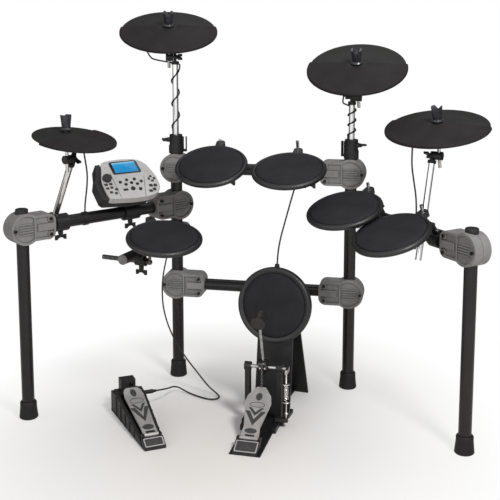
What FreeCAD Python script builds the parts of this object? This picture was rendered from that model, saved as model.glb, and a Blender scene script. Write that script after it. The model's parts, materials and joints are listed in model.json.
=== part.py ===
"""Electronic drum kit: tube rack, five drum pads, four cymbal pads, kick and hi-hat pedals, sound module."""
import FreeCAD, Part
import Sketcher
import math
import os

doc = FreeCAD.newDocument("electronic_drum_kit")
V = FreeCAD.Vector
Placement = FreeCAD.Placement
Rotation = FreeCAD.Rotation
X, Y, Z = V(1, 0, 0), V(0, 1, 0), V(0, 0, 1)

# Driving sizes in millimetres and degrees. Heights are above the floor.
# The rack is laid out with its rear bar along X, then moved so the kit's middle is the origin.
SIZES = {
    # whole kit
    "kit_middle_side": 6, "kit_middle_front": -240,
    # rack tubes
    "tube_diameter": 38, "tube_wall": 2.5, "tube_fit": 0.2, "left_arm_angle": 229.8,
    "right_arm_angle": 311.8, "lower_bar_height": 327, "snare_boom_rise": 165, "arm_rise": 108,
    "upper_bar_rise": 124.5, "bar_inset": 22, "leg_bottom": 6, "cap_standoff": 2, "collar_clear": 64.5,
    "collar_width": 15, "collar_rise": 2.5,
    # bare bar between clamps and grips, and between the rims of neighbouring pads
    "tom_one_clear": 45, "tom_pair_gap": 32, "tom_two_clear": 39, "tom_three_clear": 66,
    "floor_tom_nest": 4, "floor_tom_clear": 36, "ride_boom_clear": 82, "hihat_boom_clear": 8,
    "module_clear": 59,
    # rubber feet and caps
    "foot_radius": 29, "foot_top_radius": 25.5, "foot_height": 54, "foot_lip": 7, "cap_radius": 19.5,
    "cap_height": 10, "cap_plug": 14, "cap_dome": 2,
    # grey tube clamps
    "clamp_head_radius": 48, "clamp_reach": 98, "clamp_half_height": 39, "clamp_corner": 23,
    "clamp_depth": 30, "clamp_split": 1, "clamp_screw_head_x": -37, "clamp_screw_end_x": 81,
    "clamp_screw_end_y": 24, "screw_radius": 3, "screw_head_radius": 5.5, "screw_head_height": 5,
    "screw_socket": 2.6, "screw_fit": 0.3, "screw_pad_radius": 10, "inset_depth": 3, "inset_margin": 8,
    "divider_x": 28, "divider_width": 5, "rib_width": 3,
    # cymbal posts and their holders
    "post_radius": 9.5, "post_fit": 0.2, "holder_radius": 24, "holder_neck_radius": 21.5,
    "holder_height": 62, "holder_socket": 28, "holder_gap": 0.5, "holder_boss_radius": 8,
    "holder_boss_reach": 26.5, "hook_reach": 36, "hook_width": 9, "hook_height": 50, "hook_slot": 6,
    "left_post_rise": 366.5, "right_post_rise": 246.5,
    # booms of the ride and the hi-hat
    "boom_offset": 42, "boom_collar_radius": 27, "boom_collar_width": 44, "boom_grip_radius": 16,
    "ride_boom_tail": 96, "hihat_boom_tail": 70, "ride_reach_side": 54.71, "ride_reach_front": 74.61,
    "ride_boom_rise": 216, "hihat_reach_side": 55.42, "hihat_reach_front": -27.98, "hihat_boom_rise": 205,
    # tilters
    "tilter_radius": 13, "tilter_half": 5, "tilter_socket": 10, "tilter_gap": 0.4, "tilter_grip": 25,
    "tilter_wing_angle": 70, "rod_radius": 5, "rod_fit": 0.2, "rod_offset": 20, "rod_tail": 38,
    # cymbal pads
    "cymbal_radius": 158, "hihat_radius": 128, "cymbal_rise": 16, "hihat_rise": 12, "cymbal_plate": 3,
    "cymbal_rubber": 3.2, "rubber_start": 30, "rubber_overhang": 4, "rubber_skirt": 6, "rubber_sweep": 200,
    "cymbal_hole": 9, "rubber_gap": 0.2, "cup_radius": 24, "seat_radius": 15, "seat_height": 20,
    "seat_gap": 0.3, "seat_drop": 6.8, "top_seat_radius": 18, "top_seat_rise": 6.8, "top_seat_height": 13,
    "nut_radius": 17, "nut_foot_radius": 13, "nut_height": 38, "nut_thickness": 27, "nut_notch": 15,
    # drum pads
    "pad_radius": 115, "pad_depth": 15, "pad_rim": 6, "pad_round": 6, "head_radius": 102, "head_gap": 0.3,
    "head_rise": 9, "head_dome": 3, "head_round": 3, "lug_width": 28, "lug_reach": 145, "lug_start": 106,
    "lug_top": 3, "pad_rod_y": 131, "pad_rod_tail": 18, "rotor_radius": 14, "rotor_half": 12,
    "ear_thickness": 10, "ear_radius": 13, "ear_gap": 0.4, "grip_radius": 27, "grip_width": 40,
    "grip_boss": 8, "bolt_tip_gap": 0.5,
    # wing bolts
    "bolt_radius": 3, "bolt_length": 16, "bolt_fit": 0.3, "wing_hub_radius": 7.5, "wing_hub_height": 10,
    "wing_span": 38, "wing_height": 15, "wing_thickness": 6, "wing_notch": 14,
    # snare boom and its cross tube
    "snare_boom_angle": 256.4, "snare_boom_length": 345, "snare_boom_neck": 112, "snare_boom_radius": 16,
    "snare_rod_at": 236, "snare_rod_drop": 32, "snare_rod_angle": -12.2, "snare_rod_radius": 7.5,
    "snare_rod_length": 170, "snare_bend": 30, "snare_bend_radius": 9, "snare_drop": 150, "snare_tilt": 13,
    "snare_heading": 24.9, "snare_spin": 10, "snare_rod_top": 9, "cross_grip_radius": 14,
    "cross_grip_half": 18, "boom_ring_radius": 22, "boom_ring_half": 20,
    # sound module
    "module_reach_side": 4.76, "module_reach_front": -19.46, "module_rise": 115, "module_heading": 44,
    "module_tilt": 38, "module_width": 198, "module_length": 170, "module_shell": 22,
    "module_base_depth": 24, "module_inset": 0.94, "module_cheek_reach": 20, "module_cheek_step": 5,
    "module_gap": 0.5, "module_seat_gap": 0, "module_cheek_end": 0.26, "module_round": 5, "screen_width": 97,
    "screen_length": 53, "screen_y": 42.5, "screen_x": 2.6, "screen_depth": 3, "screen_proud": 1,
    "key_proud": 2.5, "key_slot": 4, "key_gap": 0.4, "dial_gap": 0.5, "dial_radius": 14.5,
    "dial_height": 11, "dial_x": -76.5, "dial_y": 1.5, "dial_stem": 4, "module_lug_y": 6,
    "module_lug_width": 16, "module_lug_drop": 15, "module_grip_width": 54, "module_cheek": 9,
    # kick tower and its pad
    "kick_side": 85, "kick_front": -258, "kick_height": 351, "kick_tilt": 82, "kick_heading": -8,
    "kick_radius": 117, "kick_depth": 27, "kick_rim": 6, "kick_head_radius": 99, "kick_head_rise": 9,
    "tower_width": 114, "tower_wall": 9, "tower_height": 392, "tower_run": 212, "jack_radius": 7,
    "jack_length": 9,
    # kick pedal, laid out from the floor under the middle of its axle
    "pedal_side": 65.5, "pedal_front": -324, "pedal_heading": -3, "axle_height": 176, "axle_radius": 5,
    "axle_fit": 0.3, "upright_spacing": 99, "upright_width": 15, "upright_depth": 22, "bearing_radius": 13,
    "bearing_width": 20, "plate_width": 92, "plate_thickness": 3, "tower_gap": 0.3, "heel_back": -190,
    "heel_front": -239, "heel_width": 72, "heel_height": 27, "heel_nose": 9, "hinge_y": -184,
    "hinge_height": 28, "hinge_radius": 6, "hinge_pin": 2.5, "hinge_gap": 0.4, "ear_width": 7,
    "board_thickness": 7, "board_round": 5, "board_slope": 29.4, "board_length": 184, "board_heel_half": 28,
    "board_waist": 40, "board_waist_half": 24, "board_wide": 128, "board_wide_half": 40,
    "board_shoulder": 152, "board_shoulder_half": 35, "board_tip_half": 13, "hub_radius": 15,
    "hub_width": 26, "sprocket_radius": 24.5, "sprocket_width": 7, "beater_lean": 20, "beater_length": 178,
    "beater_rod": 4, "beater_radius": 22, "beater_width": 36, "lever_at": 72, "lever_width": 7,
    "lever_reach": 26, "spring_wire": 1.2, "spring_radius": 6.6, "spring_pitch": 4.6, "spring_turns": 9,
    "spring_top": 130, "spring_foot": 30, "spring_leg": 6, "spring_disc": 3, "spring_disc_radius": 10.5,
    "spring_rod": 2.2, "lever_height": 14, "chain_width": 8, "chain_depth": 5,
    # hi-hat pedal, laid out from the floor under the front edge of its heel
    "control_side": -206, "control_front": -573, "control_heading": 33, "control_length": 330,
    "control_heel_half": 32, "control_rear_half": 50, "control_plate": 6, "control_wall_top": 66,
    "control_hinge_y": 44, "control_hinge_height": 27, "control_board_length": 226,
    "control_board_slope": 15, "control_board_heel_half": 22, "control_board_top_half": 30,
    "control_heel_length": 36, "control_wall": 12, "control_back_top": 104, "control_back_depth": 34,
    "control_back_width": 46, "control_jack_y": 296, "control_jack_height": 52, "plug_radius": 6.5,
    "plug_length": 30, "plug_boot": 12,
    # cables
    "cable_radius": 2.5, "left_wind_drop": 44, "left_wind_tail": 24, "left_wind_turns": 2.5, "left_wind_start": 270,
    "right_wind_drop": 34, "right_wind_tail": 14, "right_wind_turns": 2.75, "right_wind_start": 180, "wind_gap": 0.6,
}

# Where each cymbal pad sits: tilt and heading of its rod in degrees, height of its rim plane above the hinge,
# side of the post its rod is on, how far the pad droops on the rod, how far its hole is behind the middle,
# and how far its playing area is turned.
CYMBALS = {
    "crash_left": {"tilt": 22.2, "heading": 15, "stem": 93, "side": -1, "droop": 0, "hole": 0, "rubber": 0},
    "crash_right": {"tilt": 26, "heading": -2, "stem": 107, "side": 1, "droop": 0, "hole": 0, "rubber": 0},
    "ride": {"tilt": 13.9, "heading": -18, "stem": 92, "side": 1, "droop": 0, "hole": 0, "rubber": 0},
    "hihat": {"tilt": 0, "heading": 62, "stem": 74, "side": -1, "droop": 10.5, "hole": 36, "rubber": 8},
}

# Where each drum pad hangs: place of its hinge in front of and above its bar, drop of the hinge below the pad,
# tilt and heading of the pad, and how far its rod stands above the pad.
PADS = {
    "tom_one": {"bar": "rear", "reach": 28, "rise": 41, "drop": 55.9, "tilt": 23.3,
                "heading": -1.4, "top": 14},
    "tom_two": {"bar": "rear", "reach": 79, "rise": 20, "drop": 67.3, "tilt": 17.6,
                "heading": -4.2, "top": 34},
    "tom_three": {"bar": "right", "reach": 59.4, "rise": 73.5, "drop": 39, "tilt": 18,
                  "heading": -30, "top": 22},
    "floor_tom": {"bar": "right", "reach": 32.5, "rise": 39.5, "drop": 43.1, "tilt": 20.3,
                  "heading": -43, "top": 24},
}

sheet = doc.addObject("Spreadsheet::Sheet", "sizes")
for row, (name, number) in enumerate(SIZES.items(), start=1):
    sheet.set(f"A{row}", name)
    sheet.set(f"B{row}", str(number))
    sheet.setAlias(f"B{row}", name)
doc.recompute()


def size(name):
    """The sheet's value of one named size."""
    return float(getattr(sheet, name))


def worded(text, rewrite):
    """Rewrite every named size in an expression."""
    words, word = [], ""
    for letter in text + " ":
        if letter.isalnum() or letter == "_":
            word += letter
            continue
        words.append(rewrite(word) if word in SIZES else word)
        words.append(letter)
        word = ""
    return "".join(words).strip()


def bound(text):
    """An expression over the named sizes, as other objects of the document write it."""
    return worded(text, lambda word: "sizes." + word)


def value(text):
    """The present value of an expression over the named sizes."""
    return float(sheet.evalExpression(text))


def bind(solid, **sizes):
    for prop, text in sizes.items():
        solid.setExpression(prop, bound(text))
    return solid


def move(solid, at, rotation=None):
    """Place a solid at a point written as three expressions."""
    if rotation:
        solid.Placement = Placement(V(), rotation)
    for letter, text in zip("xyz", at):
        solid.setExpression(f"Placement.Base.{letter}", bound(text))
    return solid


def block(name, sizes, centre=("0", "0", "0")):
    """A box of three sizes around a centre."""
    solid = bind(doc.addObject("Part::Box", name), Length=sizes[0], Width=sizes[1], Height=sizes[2])
    return move(solid, [f"({c}) - ({s}) / 2" for c, s in zip(centre, sizes)])


TURN_TO = {"x": Rotation(Y, 90), "y": Rotation(X, -90), "z": Rotation()}


def rod(name, radius, length, start=("0", "0", "0"), along="z"):
    """A cylinder from a start point along one axis."""
    solid = bind(doc.addObject("Part::Cylinder", name), Radius=radius, Height=length)
    return move(solid, start, TURN_TO[along])


def taper(name, foot, top, height, start=("0", "0", "0"), along="z"):
    """A cone from a start point along one axis."""
    solid = bind(doc.addObject("Part::Cone", name), Radius1=foot, Radius2=top, Height=height)
    return move(solid, start, TURN_TO[along])


def fuse(name, *solids):
    joined = doc.addObject("Part::MultiFuse", name)
    joined.Shapes = list(solids)
    joined.Refine = True
    return joined


def cut(name, base, *tools):
    result = doc.addObject("Part::Cut", name)
    result.Base = base
    result.Tool = tools[0] if len(tools) == 1 else fuse(name + "_tools", *tools)
    return result


def outline(body, role, points):
    """A closed sketch through points written as pairs of expressions, fixed from the body's origin."""
    plane = [feature for feature in body.Origin.OriginFeatures if feature.Role == role][0]
    sketch = body.newObject("Sketcher::SketchObject", body.Name + "_sketch")
    sketch.AttachmentSupport = [(plane, "")]
    sketch.MapMode = "FlatFace"
    spots = [V(value(x), value(y), 0) for x, y in points]
    count = len(spots)
    for i in range(count):
        sketch.addGeometry(Part.LineSegment(spots[i], spots[(i + 1) % count]), False)
    for i in range(count):
        sketch.addConstraint(Sketcher.Constraint("Coincident", i, 2, (i + 1) % count, 1))
    for i, (x, y) in enumerate(points):
        for kind, text, axis in (("DistanceX", x, -2), ("DistanceY", y, -1)):
            if text == "0":
                sketch.addConstraint(Sketcher.Constraint("PointOnObject", i, 1, axis))
                continue
            index = sketch.addConstraint(Sketcher.Constraint(kind, -1, 1, i, 1, value(text)))
            sketch.setExpression(f"Constraints[{index}]", bound(text))
    return sketch


def turned(name, points, sweep=None):
    """A body turned about Z from a profile of radius and height pairs."""
    body = doc.addObject("PartDesign::Body", name)
    sketch = outline(body, "XZ_Plane", points)
    turn = body.newObject("PartDesign::Revolution", name + "_turn")
    turn.Profile = sketch
    turn.ReferenceAxis = (sketch, ["V_Axis"])
    turn.Angle = 360
    if sweep:
        bind(turn, Angle=sweep)
    return body


def extruded(name, points, length):
    """A body padded upward from an outline in the XY plane."""
    body = doc.addObject("PartDesign::Body", name)
    sketch = outline(body, "XY_Plane", points)
    pad = body.newObject("PartDesign::Pad", name + "_pad")
    pad.Profile = sketch
    bind(pad, Length=length)
    return body


def rounded(body, radius, wanted):
    """Round those edges of a body that a test picks."""
    doc.recompute()
    base = body.Tip
    names = [f"Edge{i}" for i, edge in enumerate(base.Shape.Edges, start=1) if wanted(edge)]
    fillet = body.newObject("PartDesign::Fillet", body.Name + "_round")
    fillet.Base = (base, names)
    bind(fillet, Radius=radius)
    return body


def upright_edge(edge):
    """True for an edge that runs straight along Z."""
    return isinstance(edge.Curve, Part.Line) and abs(edge.tangentAt(edge.FirstParameter).z) > 0.999


def copy_of(base, placement):
    """A placed copy of one solid."""
    copy = doc.addObject("Part::Compound", base.Name + "_copy")
    copy.Links = [base]
    copy.Placement = placement
    return copy


NODES = []


def sub_part(label, *pieces, placement=None):
    """A sub-part of the kit, with a label and a placement of its own."""
    node = doc.addObject("Part::Compound", label)
    node.Label = label
    node.Links = list(pieces)
    if placement:
        node.Placement = placement
    NODES.append(node)
    return node


def shaped(name, shape):
    """A sub-shape that neither a sketch nor a primitive can give."""
    feature = doc.addObject("Part::Feature", name)
    feature.Shape = shape
    return feature


def frame(origin, x_axis, z_axis):
    """A placement whose X and Z point along two given directions."""
    return Placement(origin, Rotation(x_axis, z_axis.cross(x_axis), z_axis, "ZXY"))


def along(origin, direction):
    """A placement whose Z points along a direction."""
    return Placement(origin, Rotation(Z, direction))


def leaning(origin, heading, tilt):
    """A placement turned about the vertical and then tipped toward its own front."""
    return Placement(origin, Rotation(Z, heading) * Rotation(X, tilt))


def on_floor(side, front, height=0):
    """A point of the kit's layout, measured from the middle of the rear bar, in the kit's own frame."""
    return V(side - size("kit_middle_side"), front - size("kit_middle_front"), height)


def compass(degrees):
    return V(math.cos(math.radians(degrees)), math.sin(math.radians(degrees)), 0)


# Round path of tubes: straight runs joined by arcs, and biarcs for windings.

def arc_through(start, tangent, end):
    """The circular arc that leaves a point along a tangent and ends at another point."""
    chord = end - start
    aside = chord - tangent * chord.dot(tangent)
    radius = chord.dot(chord) / (2 * aside.Length)
    centre = start + aside.normalize() * radius
    middle = (start - centre) + (end - centre)
    return Part.Arc(start, centre + middle.normalize() * radius, end).toShape(), radius


def biarc(start, start_tangent, end, end_tangent):
    """Two arcs that join two points and keep both tangents."""
    chord = end - start
    both = start_tangent + end_tangent
    square = 2 - 2 * start_tangent.dot(end_tangent)
    half = chord.dot(both)
    reach = (-half + math.sqrt(half * half + square * chord.dot(chord))) / square
    joint = (start + start_tangent * reach + end - end_tangent * reach) * 0.5
    first, first_radius = arc_through(start, start_tangent, joint)
    second, second_radius = arc_through(end, end_tangent * -1, joint)
    return [first, second], min(first_radius, second_radius)


def runs_and_arcs(points):
    """Edges of straight runs joined by tangent arcs, and the least arc radius."""
    edges, radii, last = [], [], points[0]
    for i in range(1, len(points) - 1):
        back = points[i - 1] - points[i]
        ahead = points[i + 1] - points[i]
        half_turn = (math.pi - back.getAngle(ahead)) / 2
        trim = 0.45 * min(back.Length, ahead.Length)
        enter = points[i] + V(back).normalize() * trim
        leave = points[i] + V(ahead).normalize() * trim
        edges.append(Part.LineSegment(last, enter).toShape())
        edges.append(arc_through(enter, V(back).normalize() * -1, leave)[0])
        radii.append(trim / math.tan(half_turn))
        last = leave
    edges.append(Part.LineSegment(last, points[-1]).toShape())
    return edges, min(radii) if radii else 0


def winding(centre, radius, top, pitch, turns, start=0, hand=1):
    """Biarc edges of a winding down a vertical axis, its end points and tangents. It starts so many degrees
    past its front and turns to the right there, or to the left for the other hand."""
    edges, radii, steps = [], [], round(turns * 4)
    climb = pitch / (2 * math.pi)

    def spot(step):
        turned_by = step * math.pi / 2
        angle = math.radians(start) + turned_by
        point = centre + V(hand * radius * math.sin(angle), -radius * math.cos(angle), top - climb * turned_by)
        tangent = V(hand * radius * math.cos(angle), radius * math.sin(angle), -climb).normalize()
        return point, tangent

    for step in range(steps):
        pair, least = biarc(*spot(step), *spot(step + 1))
        edges += pair
        radii.append(least)
    return edges, spot(0), spot(steps), min(radii)


def pipe(edges, radius):
    """A round tube along joined edges."""
    path = Part.Wire(edges)
    start = edges[0].valueAt(edges[0].FirstParameter)
    toward = edges[0].tangentAt(edges[0].FirstParameter)
    ring = Part.Wire(Part.Circle(start, toward, radius).toShape())
    shell = Part.BRepOffsetAPI.MakePipeShell(path)
    shell.add(ring)
    shell.build()
    shell.makeSolid()
    return shell.shape(), path


def cord(name, points, radius):
    """A cable through route points, with its least bend and its length printed."""
    edges, least = runs_and_arcs(points)
    solid, path = pipe(edges, radius)
    shown = solid.Volume / (math.pi * radius ** 2)
    print(f"{name}: least bend {least:.1f} mm, length {path.Length:.1f} mm, "
          f"volume over section {shown:.1f} mm")
    return shaped(name, solid)


# Rack: four legs, two rear bars, two side arms and the snare boom.

# Where each fitting sits along its bar, and the bars' lengths between the legs, from the pads they carry.
AT = {"tom_one": "clamp_reach + tom_one_clear + grip_width / 2",
      "tom_three": "clamp_reach + tom_three_clear + grip_width / 2",
      "module": "clamp_reach + module_clear + module_grip_width / 2"}
AT["tom_two"] = f"{AT['tom_one']} + 2 * pad_radius + tom_pair_gap"
AT["floor_tom"] = f"{AT['tom_three']} + 2 * pad_radius - floor_tom_nest"
AT["ride"] = f"{AT['tom_three']} + grip_width / 2 + ride_boom_clear + boom_collar_width / 2"
REAR_SPACING = f"{AT['tom_two']} + grip_width / 2 + tom_two_clear + clamp_reach"
ARM_LENGTH = f"{AT['floor_tom']} + grip_width / 2 + floor_tom_clear + clamp_reach"
AT["hihat"] = f"{ARM_LENGTH} - clamp_reach - hihat_boom_clear - boom_collar_width / 2"
AT["collar"] = f"{AT['hihat']} - boom_collar_width / 2 - collar_clear - collar_width / 2"

half_rear = value(REAR_SPACING) / 2
rear_left = on_floor(-half_rear, 0)
rear_right = on_floor(half_rear, 0)
left_way = compass(size("left_arm_angle"))
right_way = compass(size("right_arm_angle"))
front_left = rear_left + left_way * value(ARM_LENGTH)
front_right = rear_right + right_way * value(ARM_LENGTH)
snare_way = compass(size("snare_boom_angle"))

# Heights of the bars, each above the one below it.
SNARE_HEIGHT = "lower_bar_height + snare_boom_rise"
ARM_HEIGHT = f"{SNARE_HEIGHT} + arm_rise"
UPPER_HEIGHT = f"{ARM_HEIGHT} + upper_bar_rise"
POST_HEIGHT = {side: f"{UPPER_HEIGHT} + {side}_post_rise" for side in ("left", "right")}

# A bar: a point on its axis, its direction, and the level direction toward the player.
BARS = {
    "rear": (rear_left + Z * value(UPPER_HEIGHT), X, V(0, -1, 0)),
    "right": (rear_right + Z * value(ARM_HEIGHT), right_way, right_way.cross(Z)),
    "left": (rear_left + Z * value(ARM_HEIGHT), left_way, Z.cross(left_way)),
    "snare": (rear_left + Z * value(SNARE_HEIGHT), snare_way, Z.cross(snare_way)),
}


def on_bar(bar, at, side, front, rise):
    """A point off a bar: from a fitting's place along it, named distances aside, to the front and up."""
    start, way, _ = BARS[bar]
    return start + way * value(AT[at]) + V(size(side), size(front), size(rise))


def tube(name, length):
    """A rack tube standing on the origin."""
    outer = rod(name + "_outer", "tube_diameter / 2", length)
    bore = rod(name + "_bore", "tube_diameter / 2 - tube_wall", f"{length} + 2", ("0", "0", "-1"))
    return cut(name, outer, bore)


HOLDER_FOOT = f"{UPPER_HEIGHT} + clamp_head_radius + holder_gap"
REAR_TOP = f"{HOLDER_FOOT} + holder_socket"
FRONT_TOP = f"{ARM_HEIGHT} + clamp_head_radius + cap_standoff"


def rack_tubes():
    rear_leg = tube("rear_leg", f"{REAR_TOP} - leg_bottom")
    front_leg = tube("front_leg", f"{FRONT_TOP} - leg_bottom")
    lift = Z * size("leg_bottom")
    sub_part("legs", *[copy_of(leg, Placement(corner + lift, Rotation()))
                       for leg, corner in ((rear_leg, rear_left), (rear_leg, rear_right),
                                           (front_leg, front_left), (front_leg, front_right))])
    crossbar = tube("crossbar", f"{REAR_SPACING} - 2 * bar_inset")
    arm = tube("arm", f"{ARM_LENGTH} - 2 * bar_inset")
    ring = cut("collar_ring", rod("collar_outer", "tube_diameter / 2 + collar_rise", "collar_width"),
               rod("collar_bore", "tube_diameter / 2", "collar_width"))
    inset = size("bar_inset")
    boom = turned("snare_boom", [("tube_diameter / 2 - tube_wall - 1", "bar_inset"),
                                 ("tube_diameter / 2", "bar_inset"),
                                 ("tube_diameter / 2", "snare_boom_neck"),
                                 ("snare_boom_radius", "snare_boom_neck + 4"),
                                 ("snare_boom_radius", "snare_boom_length"),
                                 ("tube_diameter / 2 - tube_wall - 3", "snare_boom_length"),
                                 ("tube_diameter / 2 - tube_wall - 3", "snare_boom_neck")])
    rear_low = rear_left + Z * size("lower_bar_height")
    pieces = [copy_of(crossbar, along(BARS["rear"][0] + X * inset, X)),
              copy_of(crossbar, along(rear_low + X * inset, X))]
    for side in ("left", "right"):
        start, way, _ = BARS[side]
        pieces.append(copy_of(arm, along(start + way * inset, way)))
    start, way, _ = BARS["left"]
    pieces.append(copy_of(ring, along(start + way * value(AT["collar"]), way)))
    start, way, _ = BARS["snare"]
    pieces.append(copy_of(boom, along(start, way)))
    sub_part("bars", *pieces)


def feet_and_caps():
    boot = turned("boot", [("0", "0"), ("foot_radius - 3", "0"), ("foot_radius", "3"),
                           ("foot_radius - 0.5", "foot_lip"), ("foot_top_radius", "foot_height - 16"),
                           ("foot_top_radius", "foot_height - 4"), ("foot_top_radius - 3", "foot_height"),
                           ("tube_diameter / 2 + tube_fit", "foot_height"),
                           ("tube_diameter / 2 + tube_fit", "leg_bottom"), ("0", "leg_bottom")])
    sub_part("rubber_feet", *[copy_of(boot, Placement(corner, Rotation()))
                              for corner in (rear_left, rear_right, front_left, front_right)])
    bore = "tube_diameter / 2 - tube_wall - tube_fit"
    cap = turned("cap", [("0", "-cap_plug"), (bore, "-cap_plug"), (bore, "0"), ("cap_radius", "0"),
                         ("cap_radius", "cap_height - cap_dome"), ("cap_radius - 3", "cap_height"),
                         ("0", "cap_height")])
    top = Z * value(FRONT_TOP)
    start, way, _ = BARS["snare"]
    plug_bore = "tube_diameter / 2 - tube_wall - 3 - tube_fit"
    plug = turned("boom_plug", [("0", "-cap_plug"), (plug_bore, "-cap_plug"), (plug_bore, "0"),
                                ("snare_boom_radius", "0"), ("snare_boom_radius", "3"),
                                ("snare_boom_radius - 2", "5"), ("0", "5")])
    sub_part("tube_caps", copy_of(cap, Placement(front_left + top, Rotation())),
             copy_of(cap, Placement(front_right + top, Rotation())),
             copy_of(plug, along(start + way * size("snare_boom_length"), way)))


# Grey tube clamps. A clamp's own frame: X along the bar, Y along the leg, Z out of its front shell.

SCREWS = (("clamp_screw_head_x", "0"), ("clamp_screw_end_x", "clamp_screw_end_y"),
          ("clamp_screw_end_x", "-clamp_screw_end_y"))


def clamp_shell():
    """One half shell with ribbed insets in its face, cut for the leg, the bar and three screws."""
    head = rod("clamp_head", "clamp_head_radius", "clamp_depth - clamp_split / 2",
               ("0", "0", "clamp_split / 2"))
    half, reach = "clamp_half_height", "clamp_reach"
    arm = extruded("clamp_arm", [("0", f"-{half}"), (reach, f"-{half}"), (reach, half), ("0", half)],
                   "clamp_depth - clamp_split / 2")
    rounded(arm, "clamp_corner", lambda edge: upright_edge(edge) and edge.CenterOfMass.x > 1)
    move(arm, ("0", "0", "clamp_split / 2"))
    solid = fuse("clamp_solid", head, arm)
    floor = "clamp_depth - inset_depth"
    dish = rod("clamp_dish", "clamp_head_radius - inset_margin", "inset_depth + 1", ("0", "0", floor))
    wide = "2 * clamp_head_radius"
    dish_side = block("clamp_dish_side", (wide, wide, "clamp_depth * 3"),
                      ("divider_x - divider_width / 2 + clamp_head_radius", "0", "0"))
    head_pad = rod("clamp_head_pad", "screw_pad_radius", "clamp_depth * 2", ("clamp_screw_head_x", "0", "0"))
    ring = cut("clamp_ring", dish, dish_side, head_pad)
    tall = "2 * (clamp_half_height - inset_margin)"
    tray_length = "clamp_reach - inset_margin - divider_x - divider_width / 2"
    tray_box = block("clamp_tray_box", (tray_length, tall, "inset_depth + 1"),
                     (f"divider_x + divider_width / 2 + ({tray_length}) / 2", "0",
                      f"{floor} + (inset_depth + 1) / 2"))
    end_pads = [rod(f"clamp_end_pad_{i}", "screw_pad_radius", "clamp_depth * 2", (x, y, "0"))
                for i, (x, y) in enumerate(SCREWS[1:])]
    tongue = block("clamp_tongue", (tray_length, "clamp_screw_end_y * 0.9", "clamp_depth * 3"),
                   (f"divider_x + divider_width * 2 + ({tray_length}) / 2", "0", "0"))
    tray = cut("clamp_tray", tray_box, *end_pads, tongue)
    ribs = [block(f"clamp_rib_{i}", ("clamp_head_radius", "rib_width", "inset_depth"),
                  ("0", f"{i} * rib_width * 2.6", f"{floor} + inset_depth / 2 - 1"))
            for i in (-2, -1, 0, 1, 2)]
    leg_bore = rod("clamp_leg_bore", "tube_diameter / 2 + tube_fit", "4 * clamp_head_radius",
                   ("0", "-2 * clamp_head_radius", "0"), "y")
    bar_bore = rod("clamp_bar_bore", "tube_diameter / 2 + tube_fit", "2 * clamp_reach",
                   ("bar_inset", "0", "0"), "x")
    holes = [rod(f"clamp_hole_{i}", "screw_radius + screw_fit", "clamp_depth * 2", (x, y, "0"))
             for i, (x, y) in enumerate(SCREWS)]
    faced = cut("clamp_faced", solid, ring, tray)
    ribbed = fuse("clamp_ribbed", faced, *ribs)
    return cut("clamp_shell", ribbed, leg_bore, bar_bore, *holes)


def clamps():
    shell = clamp_shell()
    back = doc.addObject("Part::Mirroring", "clamp_back_shell")
    back.Source = shell
    back.Normal = Z
    shank = rod("screw_shank", "screw_radius", "2 * clamp_depth", ("0", "0", "-clamp_depth"))
    head = rod("screw_head", "screw_head_radius", "screw_head_height", ("0", "0", "clamp_depth"))
    screw = cut("screw", fuse("screw_solid", shank, head),
                rod("screw_socket", "screw_socket", "screw_head_height", ("0", "0", "clamp_depth + 2")))
    trio = doc.addObject("Part::Compound", "screw_trio")
    trio.Links = [copy_of(screw, Placement(V(value(x), value(y), 0), Rotation())) for x, y in SCREWS]
    upper, lower, arm = value(UPPER_HEIGHT), size("lower_bar_height"), value(ARM_HEIGHT)
    spots = [(rear_left, upper, X), (rear_left, lower, X), (rear_left, arm, left_way),
             (rear_left, value(SNARE_HEIGHT), snare_way),
             (rear_right, upper, -X), (rear_right, lower, -X), (rear_right, arm, right_way),
             (front_left, arm, -left_way), (front_right, arm, -right_way)]
    places = []
    for corner, height, way in spots:
        facing = way.cross(Z)
        turn = 1 if facing.y < 0 else -1
        places.append(frame(corner + Z * height, way, facing * turn))
    sub_part("clamp_front_shells", *[copy_of(shell, place) for place in places])
    sub_part("clamp_rear_shells", *[copy_of(back, place) for place in places])
    sub_part("clamp_screws", *[copy_of(trio, place) for place in places])


# Wing bolts: the shank points down from the seat, the wings stand above it.

def wing_bolt():
    shank = rod("bolt_shank", "bolt_radius", "bolt_length", ("0", "0", "-bolt_length"))
    hub = taper("bolt_hub", "wing_hub_radius", "wing_hub_radius - 1.5", "wing_hub_height")
    wings = block("bolt_wings", ("wing_span", "wing_thickness", "wing_height"),
                  ("0", "0", "4 + wing_height / 2"))
    notch = rod("bolt_notch", "wing_notch", "2 * wing_thickness",
                ("0", "-wing_thickness", "4 + wing_height + wing_notch / 2"), "y")
    return fuse("wing_bolt", shank, hub, cut("bolt_ears", wings, notch))


BOLT = wing_bolt()
# Distance from a rack tube's axis to the seat of a bolt that presses on the tube.
BOLT_SEAT = "tube_diameter / 2 + bolt_tip_gap + bolt_length"
BOLTS = []
FITTINGS = []


def add_bolt(seat, outward, across):
    """A wing bolt seated at a point, its wings in the plane of two directions."""
    BOLTS.append(copy_of(BOLT, frame(seat, across, outward)))


# Cymbal posts, booms and tilters.

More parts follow.
